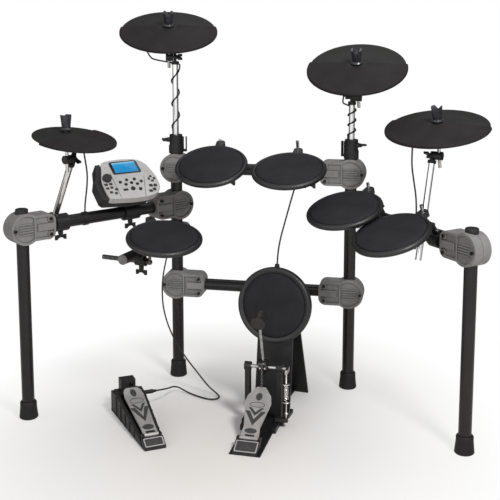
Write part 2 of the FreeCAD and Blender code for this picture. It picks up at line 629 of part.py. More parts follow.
def holder():
    """Sleeve on top of a rear leg that takes a cymbal post, with a bolt boss and a cable hook."""
    leg, post = "tube_diameter / 2 + tube_fit", "post_radius + post_fit"
    sleeve = turned("holder_sleeve", [(leg, "0"), ("holder_radius", "0"),
                                      ("holder_radius", "holder_socket - 4"),
                                      ("holder_neck_radius", "holder_socket + 2"),
                                      ("holder_neck_radius", "holder_height - 1.5"),
                                      ("holder_neck_radius - 1.5", "holder_height"),
                                      (post, "holder_height"), (post, "holder_socket + 0.4"),
                                      (leg, "holder_socket + 0.4")])
    boss_height = "(holder_socket + holder_height) / 2"
    boss = rod("holder_boss", "holder_boss_radius", "holder_boss_reach - 12", ("12", "0", boss_height), "x")
    hook = cut("holder_hook", block("hook_body", ("hook_reach - 14", "hook_width", "hook_height"),
                                    ("-(hook_reach + 14) / 2", "0", "hook_height / 2 + 4")),
               block("hook_slot", ("hook_slot", "2 * hook_width", "hook_height"),
                     ("4 - hook_reach + hook_slot / 2", "0", "hook_height / 2 + 12")))
    bolt_hole = rod("holder_bolt_hole", "bolt_radius + bolt_fit", "holder_boss_reach",
                    ("2", "0", boss_height), "x")
    post_hole = rod("holder_post_hole", post, "holder_height", ("0", "0", "holder_socket + 0.4"))
    leg_hole = rod("holder_leg_hole", leg, "holder_socket + 0.4")
    return cut("holder", fuse("holder_solid", sleeve, boss, hook), bolt_hole, post_hole,
               leg_hole), value(boss_height)


def boom_clamp():
    """Twin collar: around a side arm along X and around a boom along Z beside it, with a bolt boss below."""
    arm_ring = rod("boom_arm_ring", "boom_collar_radius", "boom_collar_width",
                   ("-boom_collar_width / 2", "0", "0"), "x")
    boom_ring = rod("boom_ring", "boom_grip_radius", "boom_collar_width",
                    ("0", "boom_offset", "-boom_collar_width / 2"))
    web = block("boom_web", ("1.6 * boom_grip_radius", "boom_offset", "0.8 * boom_collar_width"),
                ("0", "boom_offset / 2", "0"))
    boss = rod("boom_boss", "grip_boss", BOLT_SEAT, ("0", "0", f"-({BOLT_SEAT})"))
    arm_bore = rod("boom_arm_bore", "tube_diameter / 2 + tube_fit", "2 * boom_collar_width",
                   ("-boom_collar_width", "0", "0"), "x")
    bolt_hole = rod("boom_bolt_hole", "bolt_radius + bolt_fit", "2 * boom_collar_width",
                    ("0", "0", "-2 * boom_collar_width"))
    solid = fuse("boom_clamp_solid", arm_ring, boom_ring, web, boss)
    return solid, fuse("boom_clamp_holes", arm_bore, bolt_hole)


# Drop from a tilter's hinge to the top of its socket, and to the top of the post in it.
SOCKET_TOP = "tilter_radius + tilter_gap + 1"
POST_TOP = f"{SOCKET_TOP} + 4"


def tilter_parts():
    """Cheek of a tilter with its hinge along X, the socket of its post along Z, and the holes of both."""
    cheek = rod("tilter_cheek", "tilter_radius", "2 * tilter_half", ("-tilter_half", "0", "0"), "x")
    neck = block("tilter_neck", ("2 * tilter_half", "2 * tilter_radius", POST_TOP),
                 ("0", "0", f"-({POST_TOP}) / 2"))
    hole = rod("tilter_hole", "bolt_radius + bolt_fit", "4 * tilter_half", ("-2 * tilter_half", "0", "0"),
               "x")
    socket = rod("tilter_socket", "tilter_radius", "tilter_socket",
                 ("0", "0", f"-({SOCKET_TOP}) - tilter_socket"))
    bore = rod("tilter_bore", "post_radius + post_fit", "tilter_socket",
               ("0", "0", f"-({POST_TOP}) - tilter_socket"))
    return fuse("tilter_head", cheek, neck), hole, socket, bore


def tilter_base(name, parts, hinge_frame, post_frame):
    """Tilter base whose socket points along its own post."""
    head, hole, socket, bore = parts
    solid = fuse(f"{name}_tilter_solid", copy_of(head, hinge_frame), copy_of(socket, post_frame))
    return cut(f"{name}_tilter_base", solid, copy_of(hole, hinge_frame), copy_of(bore, post_frame))


def tilter_arm(name, stem):
    """Rod grip beside the tilter's cheek, the rod through it, and the lower seat; Z is the rod's axis."""
    grip = rod(f"{name}_grip_body", "tilter_radius", "tilter_grip", ("tilter_half + tilter_gap", "0", "0"),
               "x")
    rod_hole = rod(f"{name}_grip_rod_hole", "rod_radius", "4 * tilter_radius",
                   ("rod_offset", "0", "-2 * tilter_radius"))
    bolt_hole = rod(f"{name}_grip_bolt_hole", "bolt_radius + bolt_fit", "2 * tilter_half + 3",
                    ("0", "0", "0"), "x")
    stem_top = f"{stem} + {RISE_OF[name]} + top_seat_height + nut_height * 0.6"
    shaft = rod(f"{name}_shaft", "rod_radius", f"rod_tail + {stem_top}", ("rod_offset", "0", "-rod_tail"))
    ball = "(cymbal_hole - seat_gap)"
    drop = "seat_drop + cymbal_plate" if CYMBALS[name]["hole"] else "seat_drop"
    seat = turned(f"{name}_seat", [("rod_radius", "-seat_height"), ("seat_radius - 5", "-seat_height"),
                                   ("seat_radius", f"-({drop}) - 2"), ("seat_radius", f"-({drop})"),
                                   (f"{ball} * 0.8", f"-({drop})"), (f"{ball} * 0.8", f"-{ball} * 0.6"),
                                   (f"{ball} * 0.954", f"-{ball} * 0.3"), (ball, "0"),
                                   (f"{ball} * 0.968", f"{ball} * 0.25"), ("rod_radius", f"{ball} * 0.25")])
    pivot = V(size("rod_offset"), 0, value(f"{stem} + {RISE_OF[name]} - cymbal_plate / 2"))
    return [cut(f"{name}_grip", grip, rod_hole, bolt_hole), shaft,
            copy_of(seat, Placement(pivot, Rotation()))]


RISE_OF = {name: "hihat_rise" if name == "hihat" else "cymbal_rise" for name in CYMBALS}


def cymbal(name, radius, rise):
    """Cone shaped plate with a rubber playing area over its front; Z is its axis, its rim plane at zero."""
    edge, hole = f"({radius} - rubber_overhang)", str(CYMBALS[name]["hole"])
    cone = turned(f"{name}_cone", [("0", f"{rise} - cymbal_plate"),
                                   ("cup_radius", f"{rise} - cymbal_plate"), (edge, "-cymbal_plate"),
                                   (edge, "0"), ("cup_radius", rise), ("0", rise)])
    cup = rod(f"{name}_cup", "cup_radius", "cymbal_plate", ("0", hole, f"{rise} - cymbal_plate"))
    web = taper(f"{name}_cup_foot", "cup_radius + 6", "cup_radius", "cymbal_plate",
                ("0", hole, f"{rise} - 2 * cymbal_plate"))
    bore = rod(f"{name}_hole", "cymbal_hole", "6 * cymbal_plate", ("0", hole, f"{rise} - 3 * cymbal_plate"))
    plate = cut(f"{name}_plate", fuse(f"{name}_plate_solid", cone, cup, web) if hole != "0" else cone, bore)
    start = f"({edge} - rubber_start) * {rise} / ({edge} - cup_radius)"
    rubber = turned(f"{name}_rubber", [("rubber_start", f"{start} + rubber_gap"),
                                       (f"{edge} + rubber_gap", "rubber_gap"),
                                       (f"{edge} + rubber_gap", "-rubber_skirt"),
                                       (radius, "-rubber_skirt"), (radius, "0"),
                                       (f"{radius} - 2", "cymbal_rubber"),
                                       ("rubber_start + 3", f"{start} + cymbal_rubber")], "rubber_sweep")
    turn = CYMBALS[name]["rubber"] - 90 - size("rubber_sweep") / 2
    return [plate, copy_of(rubber, Placement(V(), Rotation(Z, turn)))]


def wing_nut(name):
    """Conical seat and tall wing nut above the cymbal's hole, measured from the point it rocks on."""
    low = "(cymbal_hole - seat_gap) * 0.25 + seat_gap"
    seat = turned(f"{name}_top_seat", [("rod_radius + rod_fit", low), ("cymbal_hole - 2", low),
                                       ("top_seat_radius", "top_seat_rise"),
                                       ("top_seat_radius", "top_seat_rise + 1.5"),
                                       ("nut_foot_radius", "top_seat_height"),
                                       ("rod_radius + rod_fit", "top_seat_height")])
    body = taper(f"{name}_nut_body", "nut_foot_radius", "nut_radius", "nut_height",
                 ("0", "0", "top_seat_height"))
    slab = block(f"{name}_nut_slab", ("4 * nut_radius", "nut_thickness", "4 * nut_height"))
    flat_sided = doc.addObject("Part::MultiCommon", f"{name}_nut_flat")
    flat_sided.Shapes = [body, slab]
    notch = block(f"{name}_nut_notch", ("nut_notch", "3 * nut_radius", "nut_notch"))
    notch_at = copy_of(notch, Placement(Z * value("top_seat_height + nut_height"), Rotation(Y, 45)))
    bore = rod(f"{name}_nut_bore", "rod_radius + rod_fit", "nut_height * 0.6 + cymbal_plate / 2 + 1",
               ("0", "0", "top_seat_height - 0.5"))
    return [seat, cut(f"{name}_nut", flat_sided, notch_at, bore)]


HINGES = {}
DISCS = {}


def cymbal_stations():
    """Posts, booms and tilters from the rack upward, each carrying one cymbal pad."""
    holder_solid, boss_height = holder()
    parts = tilter_parts()
    twin, holes = boom_clamp()
    holder_foot = Z * value(HOLDER_FOOT)
    post_foot = Z * (value(REAR_TOP) + 1)
    tubes = []
    tops = {"crash_left": (rear_left + Z * value(POST_HEIGHT["left"]), Z),
            "crash_right": (rear_right + Z * value(POST_HEIGHT["right"]), Z)}
    for name, corner in (("crash_left", rear_left), ("crash_right", rear_right)):
        side = CYMBALS[name]["side"]
        post_side = "left" if side < 0 else "right"
        post = rod(f"{name}_post", "post_radius",
                   f"{POST_HEIGHT[post_side]} - ({REAR_TOP} + 1) - ({POST_TOP})")
        tubes.append(copy_of(post, Placement(corner + post_foot, Rotation())))
        facing = compass(200 if side < 0 else -25)
        FITTINGS.append(copy_of(holder_solid, frame(corner + holder_foot, facing, Z)))
        add_bolt(corner + holder_foot + Z * boss_height + facing * size("holder_boss_reach"), facing,
                 Z.cross(facing))
    for name, bar in (("ride", "right"), ("hihat", "left")):
        start, way, inward = BARS[bar]
        grip = start + way * value(AT[name])
        foot = grip - inward * size("boom_offset")
        hinge = on_bar(bar, name, f"{name}_reach_side", f"{name}_reach_front",
                       f"{name}_boom_rise")
        rise = hinge - foot
        length = rise.Length
        rise.normalize()
        tops[name] = (hinge, rise)
        tail = size(f"{name}_boom_tail")
        boom = bind(doc.addObject("Part::Cylinder", f"{name}_boom"), Radius="post_radius")
        boom.Height = length + tail - value(POST_TOP)
        boom.Placement = along(foot - rise * tail, rise)
        tubes.append(boom)
        across = -inward
        held = copy_of(twin, frame(grip, across.cross(Z), Z))
        clear = copy_of(holes, frame(grip, across.cross(Z), Z))
        boom_bore = bind(doc.addObject("Part::Cylinder", f"{name}_boom_bore"),
                         Radius="post_radius + post_fit", Height="8 * boom_collar_width")
        boom_bore.Placement = along(foot - rise * value("4 * boom_collar_width"), rise)
        FITTINGS.append(cut(f"{name}_boom_clamp", held, clear, boom_bore))
        add_bolt(grip - Z * value(BOLT_SEAT), -Z, way)
    sub_part("posts", *tubes)
    for name, spot in CYMBALS.items():
        hinge, up = tops[name]
        face = leaning(hinge, spot["heading"], spot["tilt"])
        level = face.Rotation.multVec(X)
        axis = level * spot["side"]
        flat_up = (up - axis * up.dot(axis)).normalize()
        FITTINGS.append(tilter_base(name, parts, frame(hinge, axis, flat_up), along(hinge, up)))
        wings = Rotation(axis, size("tilter_wing_angle")).multVec(flat_up)
        add_bolt(hinge - axis * size("tilter_half"), -axis, wings)
        arm_frame = frame(hinge, axis, face.Rotation.multVec(Z))
        stem, rise = spot["stem"], size(RISE_OF[name])
        sub_part(f"{name}_tilter_arm", *tilter_arm(name, str(stem)), placement=arm_frame)
        middle = rise - size("cymbal_plate") / 2
        pivot = arm_frame.multVec(V(size("rod_offset"), 0, stem + middle))
        sub_part(f"{name}_wing_nut", *wing_nut(name), placement=Placement(pivot, face.Rotation))
        disc = leaning(V(), spot["heading"], spot["tilt"] + spot["droop"])
        disc.Base = pivot - disc.Rotation.multVec(V(0, spot["hole"], middle))
        radius = "hihat_radius" if name == "hihat" else "cymbal_radius"
        sub_part(f"{name}_cymbal", *cymbal(name, radius, RISE_OF[name]), placement=disc)
        DISCS[name] = (disc, size(radius))
        HINGES[f"{name}_tilt"] = (hinge, level)
        HINGES[f"{name}_rock"] = (pivot, level)


# Drum pads, each on a rod that tilts at a grip on its bar.

def pad_shell():
    rim, gap = "pad_radius", "head_radius + head_gap"
    dish = turned("pad_dish", [("0", "-pad_depth"), ("pad_radius - 18", "-pad_depth"),
                               ("pad_radius - 5", "4 - pad_depth"), (rim, "9 - pad_depth"),
                               (rim, "pad_rim - pad_round + 1"), ("pad_radius - 1.5", "pad_rim - 2"),
                               ("pad_radius - 5", "pad_rim"), (gap, "pad_rim"), (gap, "0"), ("0", "0")])
    lug = extruded("pad_lug", [("-lug_width / 2", "lug_start"), ("lug_width / 2", "lug_start"),
                               ("lug_width / 2", "lug_reach"), ("-lug_width / 2", "lug_reach")],
                   "pad_depth + lug_top")
    rounded(lug, "7", lambda edge: upright_edge(edge) and edge.CenterOfMass.y > size("pad_rod_y"))
    move(lug, ("0", "0", "-pad_depth"))
    hole = rod("pad_rod_hole", "rod_radius + rod_fit", "4 * pad_depth",
               ("0", "pad_rod_y", "-2 * pad_depth"))
    return cut("pad_shell", fuse("pad_solid", dish, lug), hole)


def pad_head(name, radius, rise):
    return turned(name, [("0", "0"), (radius, "0"), (radius, f"{rise} - head_round"),
                         (f"{radius} - head_round", rise),
                         (f"{radius} * 0.5", f"{rise} + head_dome * 0.75"), ("0", f"{rise} + head_dome")])


def pad_stations():
    shell = pad_shell()
    head = pad_head("pad_head", "head_radius", "head_rise")
    grips = []
    for name, spot in PADS.items():
        start, way, inward = BARS[spot["bar"]]
        hinge = start + way * value(AT[name]) + inward * spot["reach"] + Z * spot["rise"]
        lean = Rotation(Z, spot["heading"]) * Rotation(X, spot["tilt"])
        pad_frame = Placement(hinge + lean.multVec(V(0, -size("pad_rod_y"), spot["drop"])), lean)
        sub_part(f"{name}_shell", shell, placement=pad_frame)
        sub_part(f"{name}_head", head, placement=pad_frame)
        shaft = rod(f"{name}_rod_shaft", "rod_radius", f"{spot['top']} + {spot['drop']} + pad_rod_tail",
                    ("0", "0", "-pad_rod_tail"))
        rotor = rod(f"{name}_rotor_body", "rotor_radius", "2 * rotor_half", ("-rotor_half", "0", "0"), "x")
        rotor_hole = rod(f"{name}_rotor_hole", "rod_radius", "4 * rotor_radius",
                         ("0", "0", "-2 * rotor_radius"))
        tap = "rotor_half - rod_radius - 1"
        bolt_hole = rod(f"{name}_rotor_tap", "bolt_radius + bolt_fit", tap,
                        (f"rotor_half - ({tap})", "0", "0"), "x")
        sub_part(f"{name}_rod", shaft, cut(f"{name}_rotor", rotor, rotor_hole, bolt_hole),
                 placement=Placement(hinge, lean))
        axis = lean.multVec(X)
        bolt_way = -Z if spot["bar"] == "rear" else -inward
        grips.append(pad_grip(name, hinge, axis, start, way, bolt_way))
        HINGES[f"{name}_tilt"] = (hinge, axis)
    grips.append(snare_station(shell, head))
    sub_part("pad_grips", *grips)


def pad_grip(name, hinge, axis, start, way, bolt_way):
    """Collar on a bar with an ear beside the rod's rotor, a bolt through the ear and one onto the bar."""
    face = hinge + axis * value("rotor_half + ear_gap")
    middle = face + axis * (size("ear_thickness") / 2)
    foot = start + way * ((middle - start).dot(axis) / way.dot(axis))
    reach = foot - middle
    ear_frame = frame(face, V(reach).normalize(), axis)
    ear = bind(doc.addObject("Part::Box", f"{name}_ear"), Width="2 * ear_radius - 2",
               Height="ear_thickness")
    ear.Length = reach.Length
    ear.Placement = ear_frame.multiply(Placement(V(0, 1 - size("ear_radius"), 0), Rotation()))
    crown = bind(doc.addObject("Part::Cylinder", f"{name}_ear_crown"), Radius="ear_radius",
                 Height="ear_thickness")
    crown.Placement = ear_frame
    ring = bind(doc.addObject("Part::Cylinder", f"{name}_grip_ring"), Radius="grip_radius",
                Height="grip_width")
    ring.Placement = along(foot - way * (size("grip_width") / 2), way)
    bore = bind(doc.addObject("Part::Cylinder", f"{name}_grip_bore"), Height="2 * grip_width",
                Radius="tube_diameter / 2 + tube_fit")
    bore.Placement = along(foot - way * size("grip_width"), way)
    ear_hole = bind(doc.addObject("Part::Cylinder", f"{name}_ear_hole"), Radius="bolt_radius + bolt_fit",
                    Height="4 * ear_thickness")
    ear_hole.Placement = along(face - axis * (2 * size("ear_thickness")), axis)
    boss = bind(doc.addObject("Part::Cylinder", f"{name}_grip_boss"), Radius="grip_boss", Height=BOLT_SEAT)
    boss.Placement = along(foot, bolt_way)
    boss_hole = bind(doc.addObject("Part::Cylinder", f"{name}_grip_boss_hole"),
                     Radius="bolt_radius + bolt_fit", Height="2 * grip_width")
    boss_hole.Placement = along(foot, bolt_way)
    add_bolt(face + axis * size("ear_thickness"), axis, V(reach).normalize())
    add_bolt(foot + bolt_way * value(BOLT_SEAT), bolt_way, way)
    solid = fuse(f"{name}_grip_solid", ear, crown, ring, boss)
    return cut(f"{name}_pad_grip", solid, bore, ear_hole, boss_hole)


def snare_station(shell, head):
    """Snare on a bent rod whose level leg turns in a grip under the snare boom."""
    start, way, _ = BARS["snare"]
    axis = compass(size("snare_rod_angle"))
    crossing = start + way * size("snare_rod_at")
    hinge = crossing + axis * size("snare_bend") - Z * size("snare_rod_drop")
    lean = Rotation(Z, size("snare_heading")) * Rotation(X, size("snare_tilt"))
    lean = lean * Rotation(Z, size("snare_spin"))
    pad_frame = Placement(hinge + lean.multVec(V(0, -size("pad_rod_y"), size("snare_drop"))), lean)
    sub_part("snare_shell", shell, placement=pad_frame)
    sub_part("snare_head", head, placement=pad_frame)
    upright = rod("snare_rod_upright", "rod_radius", "snare_drop + snare_rod_top")
    bend = bind(doc.addObject("Part::Sphere", "snare_rod_bend"), Radius="snare_bend_radius")
    level = bind(doc.addObject("Part::Cylinder", "snare_rod_level"), Radius="snare_rod_radius",
                 Height="snare_rod_length")
    level.Placement = along(V(), lean.inverted().multVec(-axis))
    sub_part("snare_rod", fuse("snare_rod_solid", upright, bend, level), placement=Placement(hinge, lean))
    HINGES["snare_tilt"] = (hinge, axis)
    # The grip's own frame: X along the boom, Y along the rod's level leg, Z up, at the boom's axis.
    ring = rod("snare_ring", "boom_ring_radius", "2 * boom_ring_half", ("-boom_ring_half", "0", "0"), "x")
    lower = rod("snare_lower", "cross_grip_radius", "2 * cross_grip_half",
                ("0", "-cross_grip_half", "-snare_rod_drop"), "y")
    web = block("snare_web", ("1.7 * cross_grip_radius", "1.4 * cross_grip_half", "snare_rod_drop"),
                ("0", "0", "-snare_rod_drop / 2"))
    seat = "snare_rod_drop + snare_rod_radius + bolt_tip_gap + bolt_length"
    boss = rod("snare_boss", "grip_boss", seat, ("0", "0", f"-({seat})"))
    boom_hole = rod("snare_boom_hole", "snare_boom_radius + tube_fit", "6 * boom_ring_half",
                    ("-3 * boom_ring_half", "0", "0"), "x")
    rod_hole = rod("snare_rod_hole", "snare_rod_radius + rod_fit + 0.1", "6 * cross_grip_half",
                   ("0", "-3 * cross_grip_half", "-snare_rod_drop"), "y")
    bolt_hole = rod("snare_bolt_hole", "bolt_radius + bolt_fit", seat,
                    ("0", "0", f"-snare_rod_drop - ({seat})"))
    across = Z.cross(way)
    skew = math.degrees(across.getAngle(axis)) * (1 if across.cross(axis).z > 0 else -1)
    for piece in (lower, rod_hole):
        piece.Placement.Rotation = Rotation(Z, skew) * piece.Placement.Rotation
        piece.setExpression("Placement.Base.x",
                            bound(f"cross_grip_half * sin({skew}) * {1 if piece is lower else 3}"))
        piece.setExpression("Placement.Base.y",
                            bound(f"-cross_grip_half * cos({skew}) * {1 if piece is lower else 3}"))
    grip = cut("snare_grip", fuse("snare_grip_solid", ring, lower, web, boss), boom_hole, rod_hole,
               bolt_hole)
    add_bolt(crossing - Z * value(seat), -Z, axis)
    return copy_of(grip, frame(crossing, way, Z))


# Sound module on a tilting bracket.

def module():
    middle = on_bar("left", "module", "module_reach_side", "module_reach_front", "module_rise")
    place = leaning(middle, size("module_heading"), size("module_tilt"))
    outline = [(f"module_width * {x}", f"module_length * {y}") for x, y in MODULE_PLAN]
    cover = extruded("module_cover", outline, "module_shell")
    rounded(cover, "module_round", lambda edge: abs(edge.CenterOfMass.z - size("module_shell")) < 0.01)
    move(cover, ("0", "0", "-module_shell"))
    pocket = block("screen_pocket", ("screen_width", "screen_length", "2 * screen_depth"),
                   ("screen_x", "screen_y", "0"))
    stem_hole = rod("dial_hole", "dial_stem + 0.4", "3 * module_shell",
                    ("dial_x", "dial_y", "-2 * module_shell"))
    slots, keys = [], []
    for i, (x, y, width, length) in enumerate(SQUARE_KEYS):
        spot = (f"{x} * module_width", f"{y} * module_length")
        wide, long = f"{width} * module_width", f"{length} * module_length"
        slots.append(block(f"key_slot_{i}", (wide, long, "2 * key_slot"), spot + ("0",)))
        keys.append(block(f"key_{i}", (f"{wide} - 2 * key_gap", f"{long} - 2 * key_gap",
                                       "key_slot + key_proud"), spot + ("(key_proud - key_slot) / 2",)))
    for i, (x, y, radius) in enumerate(ROUND_KEYS):
        foot = (f"{x} * module_width", f"{y} * module_length", "-key_slot")
        slots.append(rod(f"round_slot_{i}", f"{radius} * module_width", "2 * key_slot", foot))
        keys.append(rod(f"round_key_{i}", f"{radius} * module_width - key_gap", "key_slot + key_proud",
                        foot))
    sub_part("module_top", cut("module_shell", cover, pocket, stem_hole, *slots), placement=place)
    sub_part("module_screen", block("screen_pane", ("screen_width - 0.6", "screen_length - 0.6",
                                                    "screen_depth + screen_proud"),
                                    ("screen_x", "screen_y", "(screen_proud - screen_depth) / 2")),
             placement=place)
    sub_part("module_keypad", *keys, placement=place)
    dial = fuse("dial", taper("dial_cap", "dial_radius", "dial_radius - 1.5", "dial_height",
                              ("dial_x", "dial_y", "dial_gap")),
                rod("dial_stem", "dial_stem", "module_shell / 2 + dial_gap",
                    ("dial_x", "dial_y", "-module_shell / 2")))
    sub_part("module_knob", dial, placement=place)
    shifted = [(f"module_width * {x} - module_cheek_reach", f"module_length * {y} * module_inset")
               for x, y in MODULE_PLAN]
    case = extruded("module_case", shifted, "module_base_depth + module_shell - module_cheek_step")
    move(case, ("0", "0", "-module_shell - module_base_depth"))
    grown = [(f"(module_width + 2 * module_gap) * {x}", f"(module_length + 2 * module_gap) * {y}")
             for x, y in MODULE_PLAN]
    nest = extruded("module_nest", grown, "2 * module_shell")
    move(nest, ("0", "0", "-module_shell - module_seat_gap"))
    trim = block("module_cheek_trim", ("2 * module_width", "2 * module_length", "2 * module_shell"),
                 ("module_width * (1 - module_cheek_end)", "0", "-module_seat_gap"))
    tray = cut("module_tray", case, nest, trim)
    hinge_z = "-module_shell - module_base_depth - module_lug_drop"
    lug = rod("module_lug", "tilter_radius", "module_lug_width",
              ("-module_lug_width / 2", "module_lug_y", hinge_z), "x")
    lug_neck = block("module_lug_neck", ("module_lug_width", "2 * tilter_radius", "module_lug_drop"),
                     ("0", "module_lug_y", f"{hinge_z} + module_lug_drop / 2"))
    pin_hole = rod("module_pin_hole", "bolt_radius + bolt_fit", "2 * module_lug_width",
                   ("-module_lug_width", "module_lug_y", hinge_z), "x")
    sub_part("module_base", cut("module_base_solid", fuse("module_tray_lug", tray, lug, lug_neck),
                                pin_hole), placement=place)
    hinge = place.multVec(V(0, size("module_lug_y"), value(hinge_z)))
    axis = place.Rotation.multVec(X)
    HINGES["module_tilt"] = (hinge, axis)
    HINGES["module_knob_turn"] = (place.multVec(V(size("dial_x"), size("dial_y"), 0)),
                                  place.Rotation.multVec(Z))
    module_mount(hinge, axis)


# Outline of the module in parts of its width and length, seen from above with the screen at the back.
MODULE_PLAN = ((-0.46, -0.47), (0, -0.52), (0.31, -0.49), (0.46, -0.36), (0.49, -0.07), (0.40, 0.33),
               (0.25, 0.45), (-0.08, 0.48), (-0.36, 0.44), (-0.42, 0.18), (-0.50, -0.03), (-0.50, -0.40))

# Keys of the module in parts of its width and length: middle, width and length of the square ones, middle and
# radius of the round ones.
SQUARE_KEYS = (
    (-0.444, -0.124, 0.051, 0.047), (-0.359, -0.118, 0.051, 0.047), (-0.444, -0.218, 0.051, 0.047),
    (-0.369, -0.206, 0.051, 0.047), (-0.303, -0.259, 0.051, 0.047), (-0.414, -0.318, 0.051, 0.047),
    (-0.338, -0.353, 0.051, 0.047), (-0.152, -0.294, 0.081, 0.047), (0.308, -0.259, 0.061, 0.059),
    (0.384, -0.265, 0.056, 0.059), (0.338, -0.359, 0.056, 0.059), (0.263, -0.388, 0.056, 0.053),
    (0.374, -0.035, 0.045, 0.041), (0.374, -0.147, 0.045, 0.041), (0.328, -0.088, 0.035, 0.053),
    (0.424, -0.094, 0.035, 0.053),
)
ROUND_KEYS = (
    (-0.187, -0.1, 0.0278), (-0.061, -0.059, 0.0278), (0.076, -0.059, 0.0278), (0.177, -0.129, 0.0278),
    (-0.106, -0.165, 0.0278), (0, -0.141, 0.0278), (0.091, -0.182, 0.0278), (-0.02, -0.282, 0.0404),
    (0.101, -0.312, 0.0303),
)


def module_mount(hinge, axis):
    """Fork that holds the module's lug, on a collar around the left arm."""
    start, way, _ = BARS["left"]
    foot = start + way * value(AT["module"])
    cheeks = []
    inner = value("module_lug_width / 2 + tilter_gap")
    stand = hinge - foot
    stand = stand - axis * stand.dot(axis)
    down = V(stand).normalize() * -1
    for side in (-1, 1):
        face = hinge + axis * (side * inner)
        ear_frame = frame(face, down, axis * side)
        cheek = bind(doc.addObject("Part::Box", f"module_cheek_{side + 1}"), Width="2 * tilter_radius",
                     Height="module_cheek")
        cheek.Length = stand.Length
        cheek.Placement = ear_frame.multiply(Placement(V(0, -size("tilter_radius"), 0), Rotation()))
        crown = bind(doc.addObject("Part::Cylinder", f"module_crown_{side + 1}"), Radius="tilter_radius",
                     Height="module_cheek")
        crown.Placement = ear_frame
        cheeks += [cheek, crown]
    ring = bind(doc.addObject("Part::Cylinder", "module_ring"), Radius="grip_radius",
                Height="module_grip_width")
    ring.Placement = along(foot - way * value("module_grip_width / 2"), way)
    bore = bind(doc.addObject("Part::Cylinder", "module_ring_bore"), Radius="tube_diameter / 2 + tube_fit",
                Height="3 * grip_width")
    bore.Placement = along(foot - way * value("1.5 * grip_width"), way)
    saddle = bind(doc.addObject("Part::Box", "module_saddle"), Width="2 * tilter_radius")
    saddle.Height = 2 * (inner + size("module_cheek"))
    saddle.Length = stand.Length - size("tilter_radius") - 4
    saddle.Placement = frame(hinge + down * (size("tilter_radius") + 4) - axis * (saddle.Height.Value / 2),
                             down, axis).multiply(Placement(V(0, -size("tilter_radius"), 0), Rotation()))
    pin_hole = bind(doc.addObject("Part::Cylinder", "module_bolt_hole"), Radius="bolt_radius + bolt_fit",
                    Height="6 * module_cheek")
    pin_hole.Placement = along(hinge - axis * value("3 * module_cheek"), axis)
    boss = bind(doc.addObject("Part::Cylinder", "module_boss"), Radius="grip_boss", Height=BOLT_SEAT)
    boss.Placement = along(foot, -Z)
    boss_hole = bind(doc.addObject("Part::Cylinder", "module_boss_hole"), Radius="bolt_radius + bolt_fit",
                     Height="2 * grip_width")
    boss_hole.Placement = along(foot, -Z)
    solid = fuse("module_fork_solid", *cheeks, ring, saddle, boss)
    sub_part("module_mount", cut("module_fork", solid, bore, pin_hole, boss_hole))
    add_bolt(hinge - axis * (inner + size("module_cheek")), -axis, down)
    add_bolt(foot - Z * value(BOLT_SEAT), -Z, way)


# Kick tower with its pad, and the kick pedal.

def kick_tower():
    lean = math.radians(90 - size("kick_tilt"))
    place = leaning(on_floor(size("kick_side"), size("kick_front"), size("kick_height")),
                    size("kick_heading"), size("kick_tilt"))
    shell = turned("kick_dish", [("0", "-kick_depth"), ("kick_radius - 10", "-kick_depth"),
                                 ("kick_radius - 1", "7 - kick_depth"),
                                 ("kick_radius - 1", "13 - kick_depth"),
                                 ("kick_radius - 4", "14.5 - kick_depth"),
                                 ("kick_radius - 4", "16 - kick_depth"),
                                 ("kick_radius", "17 - kick_depth"), ("kick_radius", "kick_rim - 6"),
                                 ("kick_radius - 2", "kick_rim - 2"), ("kick_radius - 6", "kick_rim"),
                                 ("kick_head_radius + head_gap", "kick_rim"),
                                 ("kick_head_radius + head_gap", "0"), ("0", "0")])
    jack = rod("kick_jack", "jack_radius", "jack_length + 12",
               ("0", "kick_radius - 12", "-kick_depth / 2"), "y")
    sub_part("kick_pad_shell", fuse("kick_shell", shell, jack), placement=place)
    sub_part("kick_pad_head", pad_head("kick_head", "kick_head_radius", "kick_head_rise"), placement=place)
    # Side view of the tower: two leaning plates that meet at the top, with a flat foot each.
    back = place.multVec(V(0, 0, -value("kick_depth + tower_gap")))
    heading = Rotation(Z, size("kick_heading"))
    backward = heading.multVec(Y)
    shift = math.tan(lean)
    foot = back - backward * (back.z * shift) - Z * back.z
    wall = "tower_wall"
    slope = f"tower_height * {shift:.5f}"
    front = extruded("tower_front", [("0", "0"), (wall, "0"), (f"{slope} + {wall}", "tower_height"),
                                     (slope, "tower_height")], "tower_width")
    rear = extruded("tower_rear", [("tower_run", "0"), (f"tower_run + {wall}", "0"),
                                   (f"{slope} + {wall}", "tower_height"),
                                   (f"{slope} + 1", "tower_height")], "tower_width")
    heel = block("tower_front_foot", ("46", "12", "tower_width"), ("23", "6", "tower_width / 2"))
    brace = block("tower_brace", ("tower_run", "10", "26"), ("tower_run / 2 + 4", "5", "tower_width / 2"))
    origin = foot - heading.multVec(X) * (size("tower_width") / 2)
    sub_part("kick_tower", fuse("tower", front, rear, heel, brace),
             placement=Placement(origin, Rotation(backward, Z, heading.multVec(X), "ZXY")))
    return place, foot, backward


PEDAL = Placement(on_floor(size("pedal_side"), size("pedal_front")), Rotation(Z, size("pedal_heading")))


def board(name, points, thickness):
    """A footboard lying along +Y from its hinge with a hinge barrel across its heel end."""
    plate = extruded(f"{name}_plate", points, thickness)
    rounded(plate, "board_round", lambda edge: upright_edge(edge) and edge.CenterOfMass.y > 20)
    return move(plate, ("0", "0", f"-({thickness}) / 2"))


def mirrored_outline(half_points):
    """A closed outline from points of its right half, listed from the heel to the toe."""
    return [(x, y) for x, y in half_points] + [(f"-({x})", y) for x, y in reversed(half_points)]


